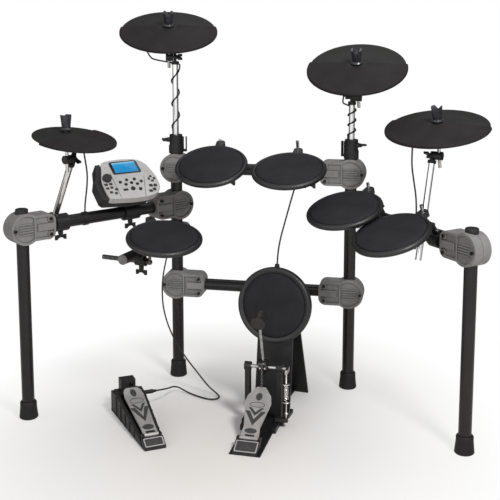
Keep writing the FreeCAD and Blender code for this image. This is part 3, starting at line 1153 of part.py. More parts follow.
def hinge_ears(name, half, y, height, front):
    """Two heel ears with the hinge pin between them."""
    ears = [block(f"{name}_ear_{side}", ("ear_width", f"({y}) - ({front})", f"{height} + hinge_radius"),
                  (f"{sign}(({half}) + hinge_gap + ear_width / 2)", f"(({y}) + ({front})) / 2",
                   f"({height} + hinge_radius) / 2")) for side, sign in (("left", "-"), ("right", ""))]
    starts = (("left", f"-({half}) - hinge_gap - ear_width"), ("right", f"({half}) + hinge_gap"))
    tips = [rod(f"{name}_tip_{side}", "hinge_radius", "ear_width", (start, y, height), "x")
            for side, start in starts]
    pin = rod(f"{name}_pin", "hinge_pin", f"2 * ({half}) + 2 * ear_width",
              (f"-({half}) - ear_width", y, height), "x")
    return ears + tips + [pin]


def hinge_barrel(name, plate, half):
    barrel = rod(f"{name}_barrel", "hinge_radius", f"2 * ({half})", (f"-({half})", "0", "0"), "x")
    bore = rod(f"{name}_barrel_bore", "hinge_pin + axle_fit", f"4 * ({half})",
               (f"-2 * ({half})", "0", "0"), "x")
    return cut(f"{name}_hinged", fuse(f"{name}_solid", plate, barrel), bore)


def kick_pedal(tower_foot, tower_way):
    """Pedal whose base plate runs back to the tower's foot."""
    half = "upright_spacing / 2"

    def plate_back(side):
        corner = PEDAL.multVec(X * (side * value("plate_width / 2")))
        along_plate = PEDAL.Rotation.multVec(Y).dot(tower_way)
        return str(((tower_foot - corner).dot(tower_way) - size("tower_gap")) / along_plate)

    plate = extruded("pedal_plate", [("-plate_width / 2", "heel_front"), ("plate_width / 2", "heel_front"),
                                     ("plate_width / 2", plate_back(1)),
                                     ("-plate_width / 2", plate_back(-1))], "plate_thickness")
    cross = block("pedal_cross", ("upright_spacing + upright_width + 16", "upright_depth + 16", "9"),
                  ("0", "0", "4.5"))
    pieces = [plate, cross]
    for side, sign in (("left", "-"), ("right", "")):
        pieces.append(block(f"upright_{side}", ("upright_width", "upright_depth", "axle_height"),
                            (f"{sign}{half}", "0", "axle_height / 2")))
        pieces.append(rod(f"bearing_{side}", "bearing_radius", "bearing_width",
                          (f"{sign}{half} - bearing_width / 2", "0", "axle_height"), "x"))
        pieces.append(block(f"pedal_rail_{side}", ("upright_width", "70", "16"),
                            (f"{sign}({half} - 2)", "-42", "8")))
    heel = extruded("pedal_heel", [("heel_front", "0"), ("heel_back", "0"), ("heel_back", "heel_height"),
                                   ("heel_back - 10", "heel_height"), ("heel_front", "heel_nose")],
                    "heel_width")
    heel_at = copy_of(heel, Placement(V(-size("heel_width") / 2, 0, 0), Rotation(Y, Z, X, "ZXY")))
    pieces.append(heel_at)
    pieces += hinge_ears("pedal", "board_heel_half", "hinge_y", "hinge_height", "heel_back - 6")
    lug = block("spring_lug", ("lever_at - upright_spacing / 2 + 12", "14", "12"),
                ("(lever_at + upright_spacing / 2) / 2 + 3", "-lever_reach", "spring_foot - 6"))
    lug_arm = block("spring_lug_arm", ("upright_width", "lever_reach + 14", "12"),
                    (half, "-lever_reach / 2", "spring_foot - 6"))
    pieces += [lug, lug_arm]
    axle_hole = rod("axle_hole", "axle_radius + axle_fit", "4 * upright_spacing",
                    ("-2 * upright_spacing", "0", "axle_height"), "x")
    sub_part("kick_pedal_base", cut("pedal_base", fuse("pedal_base_solid", *pieces), axle_hole),
             placement=PEDAL)

    rights = [("board_heel_half", "0"), ("board_waist_half", "board_waist"),
              ("board_wide_half", "board_wide"), ("board_shoulder_half", "board_shoulder"),
              ("board_tip_half", "board_length")]
    plate_board = board("kick_board", mirrored_outline(rights), "board_thickness")
    hinge = PEDAL.multVec(V(0, size("hinge_y"), size("hinge_height")))
    board_frame = Placement(hinge, PEDAL.Rotation * Rotation(X, size("board_slope")))
    sub_part("kick_footboard", hinge_barrel("kick_board", plate_board, "board_heel_half"),
             placement=board_frame)

    axle_frame = PEDAL.multiply(Placement(Z * size("axle_height"), Rotation()))
    axle = rod("axle", "axle_radius", "upright_spacing / 2 + 12 + lever_at + lever_width",
               ("-upright_spacing / 2 - 12", "0", "0"), "x")
    hub = rod("axle_hub", "hub_radius", "hub_width", ("-hub_width / 2", "0", "0"), "x")
    sprocket = rod("sprocket", "sprocket_radius", "sprocket_width", ("-sprocket_width / 2", "0", "0"), "x")
    lever = block("spring_lever", ("lever_width", "lever_reach + 10", "lever_height"),
                  ("lever_at + lever_width / 2", "-lever_reach / 2", "0"))
    hub_block = block("beater_block", ("hub_width", "2 * hub_radius", "hub_radius + 8"),
                      ("0", "0", "(hub_radius + 8) / 2"))
    shaft = rod("beater_rod", "beater_rod", "beater_length", ("0", "0", "4"))
    head = rod("beater_head", "beater_radius", "beater_width", ("0", "-beater_width / 2", "beater_length"),
               "y")
    upper = copy_of(fuse("beater", hub_block, shaft), Placement(V(), Rotation(X, size("beater_lean"))))
    head_at = copy_of(cut("beater_felt", head, rod("beater_felt_hole", "beater_rod", "2 * beater_length",
                                                   ("0", "0", "4 - beater_length"))),
                      Placement(V(), Rotation(X, size("beater_lean"))))
    sub_part("kick_beater", fuse("beater_axle", axle, hub, sprocket, lever, upper), head_at,
             placement=axle_frame)

    tip_spot = board_frame.multVec(V(0, size("board_length"), size("board_thickness") / 2))
    chain_top = axle_frame.multVec(V(0, -size("sprocket_radius"), 0))
    chain = bind(doc.addObject("Part::Box", "chain_strip"), Length="chain_width", Width="chain_depth")
    chain.Height = chain_top.z - tip_spot.z
    chain_foot = PEDAL.inverse().multVec(tip_spot)
    chain.Placement = Placement(V(-size("chain_width") / 2, -size("sprocket_radius") - size("chain_depth"),
                                  chain_foot.z + size("hinge_gap")), Rotation())
    sub_part("kick_chain", chain, placement=PEDAL)
    sub_part("kick_spring", *kick_spring(), placement=PEDAL)
    HINGES["kick_footboard"] = (hinge, PEDAL.Rotation.multVec(X))
    HINGES["kick_beater"] = (axle_frame.Base, PEDAL.Rotation.multVec(X))


def kick_spring():
    """Coil between two discs, the upper hung from the axle's lever, the lower held by the base's lug."""
    side, front = value("lever_at + lever_width / 2"), -size("lever_reach")
    wire, pitch = size("spring_wire"), size("spring_pitch")
    edges, (first, first_way), (last, last_way), least = winding(
        V(side, front, 0), size("spring_radius"), size("spring_top"), pitch, size("spring_turns"))
    leg = size("spring_leg")
    head_edges, head_least = runs_and_arcs([first - first_way * leg + Z * leg, first - first_way * leg,
                                            first])
    tail_edges, tail_least = runs_and_arcs([last, last + last_way * leg, last + last_way * leg - Z * leg])
    solid, path = pipe(head_edges + edges + tail_edges, wire)
    print(f"kick_spring: least bend {min(least, head_least, tail_least):.2f} mm, "
          f"curl gap {pitch - 2 * wire:.2f} mm, "
          f"volume over section {solid.Volume / (math.pi * wire ** 2):.1f} of {path.Length:.1f} mm")
    top = (first - first_way * leg + Z * leg).z
    bottom = (last + last_way * leg - Z * leg).z
    hook = fuse("spring_hook", rod("spring_hook_disc", "spring_disc_radius", "spring_disc"),
                rod("spring_hook_rod", "spring_rod", f"axle_height - lever_height / 2 - {top} - hinge_gap"))
    stay = fuse("spring_stay", rod("spring_stay_disc", "spring_disc_radius", "spring_disc",
                                   ("0", "0", "-spring_disc")),
                rod("spring_stay_rod", "spring_rod", f"{bottom} - spring_foot",
                    ("0", "0", f"spring_foot - {bottom}")))
    return [shaped("spring_coil", solid), copy_of(hook, Placement(V(side, front, top), Rotation())),
            copy_of(stay, Placement(V(side, front, bottom), Rotation()))]


# Hi-hat pedal.

def hihat_pedal():
    place = Placement(on_floor(size("control_side"), size("control_front")),
                      Rotation(Z, size("control_heading")))
    heel, rear, length = "control_heel_half", "control_rear_half", "control_length"
    sole = extruded("control_sole", [(f"-{heel}", "0"), (heel, "0"), (rear, length), (f"-{rear}", length)],
                    "control_plate")
    rounded(sole, "12", lambda edge: upright_edge(edge) and edge.CenterOfMass.y > 20)
    pieces = [sole]
    # Side walls stand beside the board and follow the edges of the sole.
    profile = [("control_heel_length", "0"), (f"{length} - 12", "0"),
               (f"{length} - 12", "control_wall_top"), (f"{length} - 70", "control_wall_top"),
               ("control_hinge_y + 22", "20"), ("control_heel_length", "14")]
    splay = math.degrees(math.atan2(value("control_rear_half - control_heel_half"),
                                    value("control_length")))
    for side, start, turn in (("left", -size("control_heel_half"), splay),
                              ("right", value("control_heel_half - control_wall"), -splay)):
        flank = extruded(f"control_flank_{side}", profile, "control_wall")
        pieces.append(copy_of(flank, Placement(V(start, 0, 0),
                                               Rotation(Z, turn) * Rotation(Y, Z, X, "ZXY"))))
    heel_block = extruded("control_heel", [("0", "0"), ("control_heel_length", "0"),
                                           ("control_heel_length", "25"),
                                           ("control_heel_length - 8", "25"), ("0", "9")], f"2 * {heel}")
    pieces.append(copy_of(heel_block, Placement(V(-size("control_heel_half"), 0, 0),
                                                Rotation(Y, Z, X, "ZXY"))))
    pieces += hinge_ears("control", "control_board_heel_half", "control_hinge_y", "control_hinge_height",
                         "control_heel_length - 4")
    tower_y = f"{length} - 6 - control_back_depth / 2"
    tower = block("control_tower", ("control_back_width", "control_back_depth", "control_back_top"),
                  ("0", tower_y, "control_back_top / 2"))
    saddle = block("control_saddle", (f"2 * ({rear} - control_wall)", "control_back_depth",
                                      "control_wall_top"), ("0", tower_y, "control_wall_top / 2"))
    window = rod("control_window", "8", "3 * control_back_depth",
                 ("8", f"{length} - 2 * control_back_depth", "control_back_top - 17"), "y")
    jack = rod("control_jack", "plug_radius + 2", f"{rear} - 20",
               ("20", "control_jack_y", "control_jack_height"), "x")
    sub_part("hihat_pedal_base", cut("control_base", fuse("control_solid", *pieces, tower, saddle, jack),
                                     window), placement=place)

    hinge = place.multVec(V(0, size("control_hinge_y"), size("control_hinge_height")))
    rights = [("control_board_heel_half", "0"), ("control_board_heel_half", "40"),
              ("control_board_top_half", "control_board_length - 40"),
              ("control_board_top_half - 3", "control_board_length - 14"),
              ("control_board_top_half - 12", "control_board_length")]
    plate = board("hihat_board", mirrored_outline(rights), "board_thickness")
    sub_part("hihat_footboard", hinge_barrel("hihat_board", plate, "control_board_heel_half"),
             placement=Placement(hinge, place.Rotation * Rotation(X, size("control_board_slope"))))
    HINGES["hihat_footboard"] = (hinge, place.Rotation.multVec(X))
    plug_start = place.multVec(V(value(f"{rear}"), size("control_jack_y"), size("control_jack_height")))
    plug = fuse("plug", rod("plug_body", "plug_radius", "plug_length"),
                taper("plug_boot", "plug_radius - 1", "cable_radius + 1", "plug_boot",
                      ("0", "0", "plug_length")))
    plug_way = place.Rotation.multVec(X)
    sub_part("hihat_pedal_plug", plug, placement=along(plug_start, plug_way))
    return plug_start + plug_way * value("plug_length + plug_boot"), plug_way


# Cables.

def wound_cable(name, tilter, lead, prefix):
    """A cable from a cymbal's underside, evenly around its post and down into the post's holder."""
    radius = value("post_radius + cable_radius + wind_gap")
    holder_top = value(f"{HOLDER_FOOT} + holder_height")
    top, turns = tilter.z - size(f"{prefix}_wind_drop"), size(f"{prefix}_wind_turns")
    pitch = (top - holder_top - size(f"{prefix}_wind_tail")) / turns
    axis = V(tilter.x, tilter.y, 0)
    start = size(f"{prefix}_wind_start")
    edges, (first, first_way), (last, last_way), least = winding(axis, radius, top, pitch, turns, start, -1)
    lead_edges, lead_least = runs_and_arcs(lead + [first - first_way * (2 * radius), first])
    side_step = 4 * size("cable_radius") / math.hypot(last_way.x, last_way.y)
    knee = last + last_way * side_step
    tail_edges, tail_least = runs_and_arcs([last, knee, V(knee.x, knee.y, holder_top)])
    solid, path = pipe(lead_edges + edges + tail_edges, size("cable_radius"))
    print(f"{name}: least bend {min(least, lead_least, tail_least):.1f} mm, length {path.Length:.1f} mm, "
          f"self gap {pitch - 2 * size('cable_radius'):.1f} mm, "
          f"volume over section {solid.Volume / (math.pi * size('cable_radius') ** 2):.1f} mm")
    return shaped(name, solid)


def under_cymbal(name, side, front):
    """A point just below a cymbal's plate, aside and in front of its tilter, and the way down from it."""
    disc, radius = DISCS[name]
    normal = disc.Rotation.multVec(Z)
    spot = HINGES[f"{name}_tilt"][0] + V(side, front, 0)
    offset = disc.Base - spot
    local = disc.inverse().multVec(spot + Z * (normal.dot(offset) / normal.z))
    edge, cup = radius - size("rubber_overhang"), size("cup_radius")
    height = size(RISE_OF[name]) * (edge - math.hypot(local.x, local.y)) / (edge - cup)
    return disc.multVec(V(local.x, local.y, height - size("cymbal_plate") - size("seat_gap"))), -normal


def crash_cable(name, prefix, start_at, drop, spots):
    """A crash cymbal's cable: where it leaves the cymbal and how its lead hangs, both from the tilter."""
    tilter = HINGES[f"{name}_tilt"][0]
    start, down = under_cymbal(name, *start_at)
    lead = [start, start + down * drop] + [tilter + V(*spot) for spot in spots]
    return wound_cable(f"{name}_cable", tilter, lead, prefix)


def hanging_route(name, start_at, drop, foot, rise, spots, end):
    """A cable hung from a cymbal to its boom: spots aside, in front and at a share of the boom's rise."""
    start, down = under_cymbal(name, *start_at)
    hung = [foot + V(side, front, share * rise) for side, front, share in spots]
    return [start, start + down * drop] + hung + [foot + V(spots[-1][0], spots[-1][1], end)]


def kick_route(kick_place):
    """From the second tom's grip to the kick pad's jack; heights are shares of the way up from the jack."""
    jack_end = kick_place.multVec(V(0, value("kick_radius + jack_length"), -size("kick_depth") / 2))
    jack_way = kick_place.Rotation.multVec(Y)
    start, way, inward = BARS["rear"]
    grip = start + way * value(AT["tom_two"])
    climb = grip.z - jack_end.z
    spots = ((6, -value("grip_radius + seat_gap"), 0.99), (5, -56, 0.998), (3, -104, 0.99),
             (-2, -154, 0.918), (-12, -190, 0.727), (-24, -214, 0.511))
    points = [V(grip.x + side, grip.y + front, jack_end.z + share * climb) for side, front, share in spots]
    return points + [jack_end + jack_way * 84 + V(8, -8, 0), jack_end + jack_way * 34, jack_end]


def pedal_route(plug_end, plug_way):
    """From the snare boom's clamp down past the leg and along the floor to the hi-hat pedal's plug."""
    clamp = rear_left + Z * value(SNARE_HEIGHT)
    beside = ((-18, -62, 0.888), (-20, -80, 0.837), (-20, -110, 0.768), (-17, -132, 0.683),
              (-11, -144, 0.581), (3, -145, 0.467), (28, -143, 0.35), (62, -142, 0.24), (101, -141, 0.142))
    points = [clamp + V(-18, -62, -value("clamp_half_height + seat_gap"))]
    points += [rear_left + V(side, front, share * clamp.z) for side, front, share in beside]
    points += [on_floor(*spot) for spot in ((-152, -144, 24), (-118, -156, 5.5), (-104, -180, 3.5),
                                            (-126, -202, 3.5), (-172, -186, 3.5), (-220, -158, 4.5),
                                            (-262, -142, 18))]
    return points + [plug_end + plug_way * 34, plug_end]


def cables(plug_end, plug_way, kick_place):
    thin = size("cable_radius")
    left = crash_cable("crash_left", "left", (-93, -62), 20,
                       ((-78, -34, -2), (-58, 2, -12), (-32, 28, -19), (-4, 38, -24)))
    right = crash_cable("crash_right", "right", (-24, 46), 24, ((-27, 44, 30), (-31, 36, 0), (-33, 24, -22)))
    sub_part("crash_cables", left, right)
    sub_part("kick_cable", cord("kick_cord", kick_route(kick_place), thin))
    start, way, _ = BARS["right"]
    ride_foot = start + way * value(AT["ride"])
    ride_route = hanging_route("ride", (-61, -74), 34, ride_foot, size("ride_boom_rise"),
                               ((-5.3, -6.4, 0.926), (2.7, -12.4, 0.704), (10.7, -17.4, 0.491),
                                (12.7, -18.4, 0.296), (12.7, -13.4, 0.204)),
                               value("boom_collar_radius + seat_gap"))
    sub_part("ride_cable", cord("ride_cord", ride_route, thin))
    start, way, _ = BARS["left"]
    collar = start + way * value(AT["collar"])
    hihat_route = hanging_route("hihat", (46, -25), 26, collar, size("hihat_boom_rise"),
                                ((37.7, -102.8, 0.976), (29.7, -70.8, 0.81), (15.7, -30.8, 0.673),
                                 (3.7, -2.8, 0.498), (-2.3, -2.8, 0.293), (-4.2, -5.8, 0.195)),
                                value("tube_diameter / 2 + collar_rise + seat_gap"))
    sub_part("hihat_cable", cord("hihat_cord", hihat_route, thin))
    sub_part("hihat_pedal_cable", cord("pedal_cord", pedal_route(plug_end, plug_way), thin))


rack_tubes()
feet_and_caps()
clamps()
cymbal_stations()
pad_stations()
module()
KICK_PLACE, TOWER_FOOT, TOWER_WAY = kick_tower()
kick_pedal(TOWER_FOOT, TOWER_WAY)
PLUG_END, PLUG_WAY = hihat_pedal()
cables(PLUG_END, PLUG_WAY, KICK_PLACE)
sub_part("wing_bolts", *BOLTS)
sub_part("post_fittings", *FITTINGS)
doc.recompute()

for item in doc.Objects:
    if "Invalid" in item.State or "Error" in item.State:
        raise RuntimeError(f"{item.Label} did not build: {item.State}")
for node in NODES:
    if node.Shape.isNull() or not node.Shape.isValid():
        raise RuntimeError(f"{node.Label} has no sound shape")

os.makedirs("parts", exist_ok=True)
for node in NODES:
    node.Shape.exportStep(f"parts/{node.Label}.step")

for name, (point, axis) in HINGES.items():
    print(f"hinge {name}: at {point.x:.2f} {point.y:.2f} {point.z:.2f} "
          f"along {axis.x:.5f} {axis.y:.5f} {axis.z:.5f}")
whole = Part.makeCompound([node.Shape for node in NODES]).BoundBox
print(f"{len(NODES)} sub-parts, box {whole.XMin:.1f}..{whole.XMax:.1f} "
      f"{whole.YMin:.1f}..{whole.YMax:.1f} {whole.ZMin:.1f}..{whole.ZMax:.1f}")
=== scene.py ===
"""Looks of the electronic drum kit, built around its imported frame. Sizes are in millimetres unless said."""
import json
import math

import bmesh
import bpy
from mathutils import Matrix, Vector


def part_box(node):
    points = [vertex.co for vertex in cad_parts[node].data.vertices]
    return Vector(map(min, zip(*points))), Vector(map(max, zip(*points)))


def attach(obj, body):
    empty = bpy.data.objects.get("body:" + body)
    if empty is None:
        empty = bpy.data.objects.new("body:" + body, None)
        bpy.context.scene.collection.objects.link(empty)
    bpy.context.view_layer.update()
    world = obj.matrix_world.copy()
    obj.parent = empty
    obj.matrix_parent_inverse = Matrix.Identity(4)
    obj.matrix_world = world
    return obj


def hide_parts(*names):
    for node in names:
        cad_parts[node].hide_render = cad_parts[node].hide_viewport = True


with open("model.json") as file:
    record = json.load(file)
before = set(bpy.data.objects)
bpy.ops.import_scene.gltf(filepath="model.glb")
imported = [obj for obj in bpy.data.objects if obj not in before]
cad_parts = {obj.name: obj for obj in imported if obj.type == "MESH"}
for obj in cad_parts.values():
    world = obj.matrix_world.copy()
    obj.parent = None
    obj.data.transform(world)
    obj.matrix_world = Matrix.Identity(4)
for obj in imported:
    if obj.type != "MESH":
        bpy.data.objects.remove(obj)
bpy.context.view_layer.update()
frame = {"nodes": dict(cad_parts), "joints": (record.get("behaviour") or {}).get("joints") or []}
nodes = frame["nodes"]
scene = bpy.context.scene
scene.view_settings.view_transform = "Standard"

MM = 0.001
X, Y, Z = Vector((1, 0, 0)), Vector((0, 1, 0)), Vector((0, 0, 1))
HINGE = {joint["name"]: Vector(joint["pos_m"]) / MM for joint in frame["joints"]}

KIT_SIDE, KIT_FRONT = 6, -240


def on_floor(side, front, height):
    return Vector((side - KIT_SIDE, front - KIT_FRONT, height))


def turn(degrees, axis):
    """A turn about one axis, as a matrix."""
    return Matrix.Rotation(math.radians(degrees), 4, axis)


def leaning(origin, heading, tilt):
    """A place turned about the vertical and then tipped toward its own front."""
    return Matrix.Translation(origin) @ turn(heading, "Z") @ turn(tilt, "X")


def added(name, data):
    """A new object in the scene."""
    thing = bpy.data.objects.new(name, data)
    scene.collection.objects.link(thing)
    return thing


# Camera.

CAMERA_AT = Vector((0.584, -2.981, 1.315))
CAMERA_HEADING, CAMERA_PITCH = 11.08, 9.09
SENSOR, LENS, FRAME_SHIFT = 36, 73.05, -0.2


def add_camera():
    """Camera that stands where the photograph was taken."""
    data = bpy.data.cameras.new("camera")
    data.sensor_width = SENSOR
    data.lens = LENS
    data.shift_y = FRAME_SHIFT
    camera = added("camera", data)
    aim = turn(CAMERA_HEADING, "Z") @ turn(90 - CAMERA_PITCH, "X")
    camera.matrix_world = Matrix.Translation(CAMERA_AT) @ aim
    scene.camera = camera


add_camera()

# Materials.


def shade(code):
    """A colour written as six hexadecimal digits, as light values."""
    channels = [int(code[i:i + 2], 16) / 255 for i in (0, 2, 4)]
    return tuple(c / 12.92 if c <= 0.04045 else ((c + 0.055) / 1.055) ** 2.4 for c in channels) + (1,)


def new_tree(name):
    """A new material with its node tree, its shader and coordinates in the piece's own frame, in metres."""
    material = bpy.data.materials.new(name)
    material.use_nodes = True
    tree = material.node_tree
    coords = tree.nodes.new("ShaderNodeTexCoord").outputs["Object"]
    return material, tree, tree.nodes["Principled BSDF"], coords


def feed(tree, socket, value):
    """Link a socket to another one, or set its own value."""
    if isinstance(value, bpy.types.NodeSocket):
        tree.links.new(value, socket)
    else:
        socket.default_value = value


def feed_all(tree, node, values):
    """Feed several sockets of a node by their names."""
    for name, value in values.items():
        feed(tree, node.inputs[name], value)


def math_node(tree, operation, *values):
    """One step of arithmetic on sockets and plain numbers."""
    node = tree.nodes.new("ShaderNodeMath")
    node.operation = operation
    for socket, value in zip(node.inputs, values):
        feed(tree, socket, value)
    return node.outputs[0]


def vector_node(tree, operation, *values):
    """One step of vector arithmetic; a length or a dot product comes out as a number."""
    node = tree.nodes.new("ShaderNodeVectorMath")
    node.operation = operation
    for socket, value in zip(node.inputs, values):
        feed(tree, socket, value)
    return node.outputs["Value" if operation in ("LENGTH", "DOT_PRODUCT") else "Vector"]


def noise(tree, coords, cell, detail=3.0, stretch=None):
    """Noise whose cells are about so many millimetres wide."""
    if stretch:
        mapping = tree.nodes.new("ShaderNodeMapping")
        feed_all(tree, mapping, {"Vector": coords, "Scale": stretch})
        coords = mapping.outputs["Vector"]
    node = tree.nodes.new("ShaderNodeTexNoise")
    feed_all(tree, node, {"Vector": coords, "Scale": 1 / (cell * MM), "Detail": detail})
    return node.outputs["Fac"]


def ramp(tree, factor, stops):
    """A factor turned into colours, each stop a place from 0 to 1 and its colour."""
    node = tree.nodes.new("ShaderNodeValToRGB")
    elements = node.color_ramp.elements
    while len(elements) < len(stops):
        elements.new(0.5)
    for element, (place, colour) in zip(elements, stops):
        element.position = place
        element.color = colour
    tree.links.new(factor, node.inputs["Fac"])
    return node.outputs["Color"]


def mottled(tree, coords, patch, dark, light, edges=(0.35, 0.65), stretch=None):
    """Soft patches of two tones, about so many millimetres wide."""
    stops = list(zip(edges, (shade(dark), shade(light))))
    return ramp(tree, noise(tree, coords, patch, stretch=stretch), stops)


def spread(tree, factor, low, high, start=0.3, end=0.7):
    """A factor between start and end, mapped to a value between low and high."""
    node = tree.nodes.new("ShaderNodeMapRange")
    feed_all(tree, node, {"Value": factor, "From Min": start, "From Max": end, "To Min": low, "To Max": high})
    return node.outputs["Result"]


def blended(tree, factor, first, second):
    """Two colours mixed by a factor."""
    node = tree.nodes.new("ShaderNodeMix")
    node.data_type = "RGBA"
    tree.links.new(factor, node.inputs["Factor"])
    for socket, colour in zip((node.inputs[6], node.inputs[7]), (first, second)):
        feed(tree, socket, colour)
    return node.outputs[2]


def bumped(tree, shader, height, depth):
    """Relief of so many millimetres."""
    node = tree.nodes.new("ShaderNodeBump")
    feed_all(tree, node, {"Height": height, "Distance": depth * MM, "Strength": 1.0})
    tree.links.new(node.outputs["Normal"], shader.inputs["Normal"])


def edge_wear(tree, colour, worn):
    """Sharp edges rubbed to another tone."""
    pointiness = tree.nodes.new("ShaderNodeNewGeometry").outputs["Pointiness"]
    return blended(tree, spread(tree, pointiness, 0, 0.8, 0.53, 0.62), colour, worn)


def painted_crease_shade(tree, colour, dark, reach):
    """Painted shade: corners and grooves of a piece, up to so many millimetres across, darkened in the base
    colour by ambient occlusion.
    """
    node = tree.nodes.new("ShaderNodeAmbientOcclusion")
    node.only_local = True
    node.samples = 8
    node.inputs["Distance"].default_value = reach * MM
    return blended(tree, spread(tree, node.outputs["AO"], 0, 1, 0.35, 0.95), dark, colour)


def surface(name, colour, second, rough, grain, depth, patch, metallic=0.0, specular=0.5, worn=None, coat=0.0,
            stretch=None, painted_shade=None):
    """Soft patches of two tones, fine grain in sheen and relief, rubbed edges and painted shade in creases.

    Patch, grain and depth are in millimetres; painted shade in creases is given as its tone and its reach.
    """
    material, tree, shader, coords = new_tree(name)
    tone = mottled(tree, coords, patch, second, colour)
    if worn:
        tone = edge_wear(tree, tone, shade(worn))
    # Painted shade: ambient occlusion darkens the base colour in corners and grooves.
    if painted_shade:
        tone = painted_crease_shade(tree, tone, shade(painted_shade[0]), painted_shade[1])
    fine = noise(tree, coords, grain, 2.0, stretch)
    feed_all(tree, shader, {"Base Color": tone, "Roughness": spread(tree, fine, *rough), "Metallic": metallic,
                            "Specular IOR Level": specular, "Coat Weight": coat, "Coat Roughness": 0.25})
    bumped(tree, shader, fine, depth)
    return material


def distance_from_line(tree, coords, origin, direction):
    """Distance of a point from a line, in metres."""
    offset = vector_node(tree, "SUBTRACT", coords, origin * MM)
    return vector_node(tree, "LENGTH", vector_node(tree, "CROSS_PRODUCT", offset, direction))


def along_line(tree, coords, origin, direction):
    """Distance of a point along a line from its origin, either way, in metres."""
    offset = vector_node(tree, "SUBTRACT", coords, origin * MM)
    return math_node(tree, "ABSOLUTE", vector_node(tree, "DOT_PRODUCT", offset, direction))


def rod_in_fitting(name, origin, direction, radius):
    """Black moulding with a bright rod along one line through it."""
    material, tree, shader, coords = new_tree(name)
    on_rod = math_node(tree, "LESS_THAN", distance_from_line(tree, coords, origin, direction), radius * MM)
    black = mottled(tree, coords, 30, "1d1c1d", "272526")
    bright = mottled(tree, coords, 14, "c4c2c2", "e2e1e0", (0.3, 0.7), (1, 1, 0.1))
    fine = noise(tree, coords, 0.9)
    dull = spread(tree, fine, 0.38, 0.55)
    polish = math_node(tree, "MULTIPLY", on_rod, 0.3)
    feed_all(tree, shader, {"Base Color": blended(tree, on_rod, black, bright), "Metallic": on_rod,
                            "Roughness": math_node(tree, "SUBTRACT", dull, polish)})
    bumped(tree, shader, fine, 0.04)
    return material


def ringed_rubber(name, colour, second, pitch, depth, rough):
    """Moulded rubber with fine rings about the piece's own axis."""
    material, tree, shader, coords = new_tree(name)
    rings = tree.nodes.new("ShaderNodeTexWave")
    rings.wave_type = "RINGS"
    rings.rings_direction = "Z"
    feed_all(tree, rings, {"Vector": coords, "Scale": 1 / (pitch * MM) / 20, "Distortion": 0.0})
    fine = noise(tree, coords, 1.1, 4.0)
    tone = mottled(tree, coords, 70, second, colour)
    feed_all(tree, shader, {"Base Color": edge_wear(tree, tone, shade("4a4849")),
                            "Roughness": spread(tree, fine, *rough), "Specular IOR Level": 0.15})
    relief = math_node(tree, "ADD", math_node(tree, "MULTIPLY", rings.outputs["Fac"], 0.6), fine)
    bumped(tree, shader, relief, depth)
    return material


# Heights on the module's face between which the lit pane grows paler, and the width of its dots.
PANE_LOW, PANE_HIGH, DOT = 20, 66, 0.6


def display_glass():
    """Lit liquid crystal pane with rows of fine dots, paler along its top."""
    material, tree, shader, coords = new_tree("display_glass")
    parts = tree.nodes.new("ShaderNodeSeparateXYZ")
    tree.links.new(coords, parts.inputs["Vector"])
    across, along = parts.outputs["X"], parts.outputs["Y"]
    blues = ((0.0, "1488c4"), (0.55, "1c92cc"), (0.84, "2b9cd2"), (0.93, "8acbe6"))
    tone = ramp(tree, spread(tree, along, 0, 1, PANE_LOW * MM, PANE_HIGH * MM),
                [(place, shade(code)) for place, code in blues])
    waves = [math_node(tree, "PINGPONG", part, DOT * MM) for part in (across, along)]
    dots = math_node(tree, "MULTIPLY", *waves)
    dark = spread(tree, dots, 0.25, 0, 0, 0.25 * (DOT * MM) ** 2)
    shown = blended(tree, dark, tone, shade("0a5f9c"))
    feed_all(tree, shader, {"Base Color": shown, "Emission Color": shown, "Emission Strength": 0.12,
                            "Roughness": 0.3})
    return material


BLACK_TUBE = surface("black_tube", "191718", "131112", rough=(0.26, 0.36), grain=1.4, depth=0.02,
                     patch=80, specular=0.42, worn="2c292a")
SOFT_BLACK = surface("soft_black", "1e1c1d", "171516", rough=(0.5, 0.68), grain=1.2, depth=0.08, patch=30,
                     specular=0.3, worn="383637")
# Its dark tone in creases is painted shade.
GREY_CLAMP = surface("grey_clamp", "8d8b8b", "828080", rough=(0.48, 0.62), grain=0.9, depth=0.05,
                     patch=40, specular=0.25, worn="9e9c9b", painted_shade=("4e4c4c", 7))
STEEL = surface("steel", "6f6d6d", "575556", rough=(0.24, 0.42), grain=1.0, depth=0.02, patch=12,
                metallic=1.0, worn="a5a3a2")
# Its dark tone in creases is painted shade.
SCREW = surface("screw_steel", "3a3839", "2b292a", rough=(0.3, 0.45), grain=0.8, depth=0.03, patch=6,
                metallic=0.7, worn="8c8a89", painted_shade=("0e0d0e", 3))
CHROME = surface("chrome", "f0efef", "e4e3e3", rough=(0.08, 0.14), grain=2.2, depth=0.002, patch=60,
                 metallic=1.0, stretch=(1, 1, 0.08))
BLACK_FITTING = surface("black_fitting", "1d1b1c", "161516", rough=(0.36, 0.52), grain=0.8, depth=0.05,
                        patch=25, specular=0.35, worn="343233")
WING_BLACK = surface("wing_black", "1b1a1b", "141314", rough=(0.3, 0.44), grain=0.9, depth=0.04, patch=14,
                     specular=0.4, worn="363435")
NUT_BLACK = surface("nut_black", "38383c", "2b2b2e", rough=(0.24, 0.36), grain=0.9, depth=0.03, patch=12,
                    specular=0.5, worn="5b5b60", coat=0.3)
BLACK_STEEL = surface("black_steel", "1b1a1b", "141314", rough=(0.34, 0.5), grain=1.6, depth=0.05,
                      patch=90, specular=0.35, worn="363435")
PAD_RIM = surface("pad_rim", "242324", "1e1d1e", rough=(0.36, 0.46), grain=1.0, depth=0.012, patch=50,
                  specular=0.5, worn="373536")
PAD_RUBBER = ringed_rubber("pad_rubber", "2b2a2d", "252427", pitch=2.4, depth=0.05, rough=(0.62, 0.78))
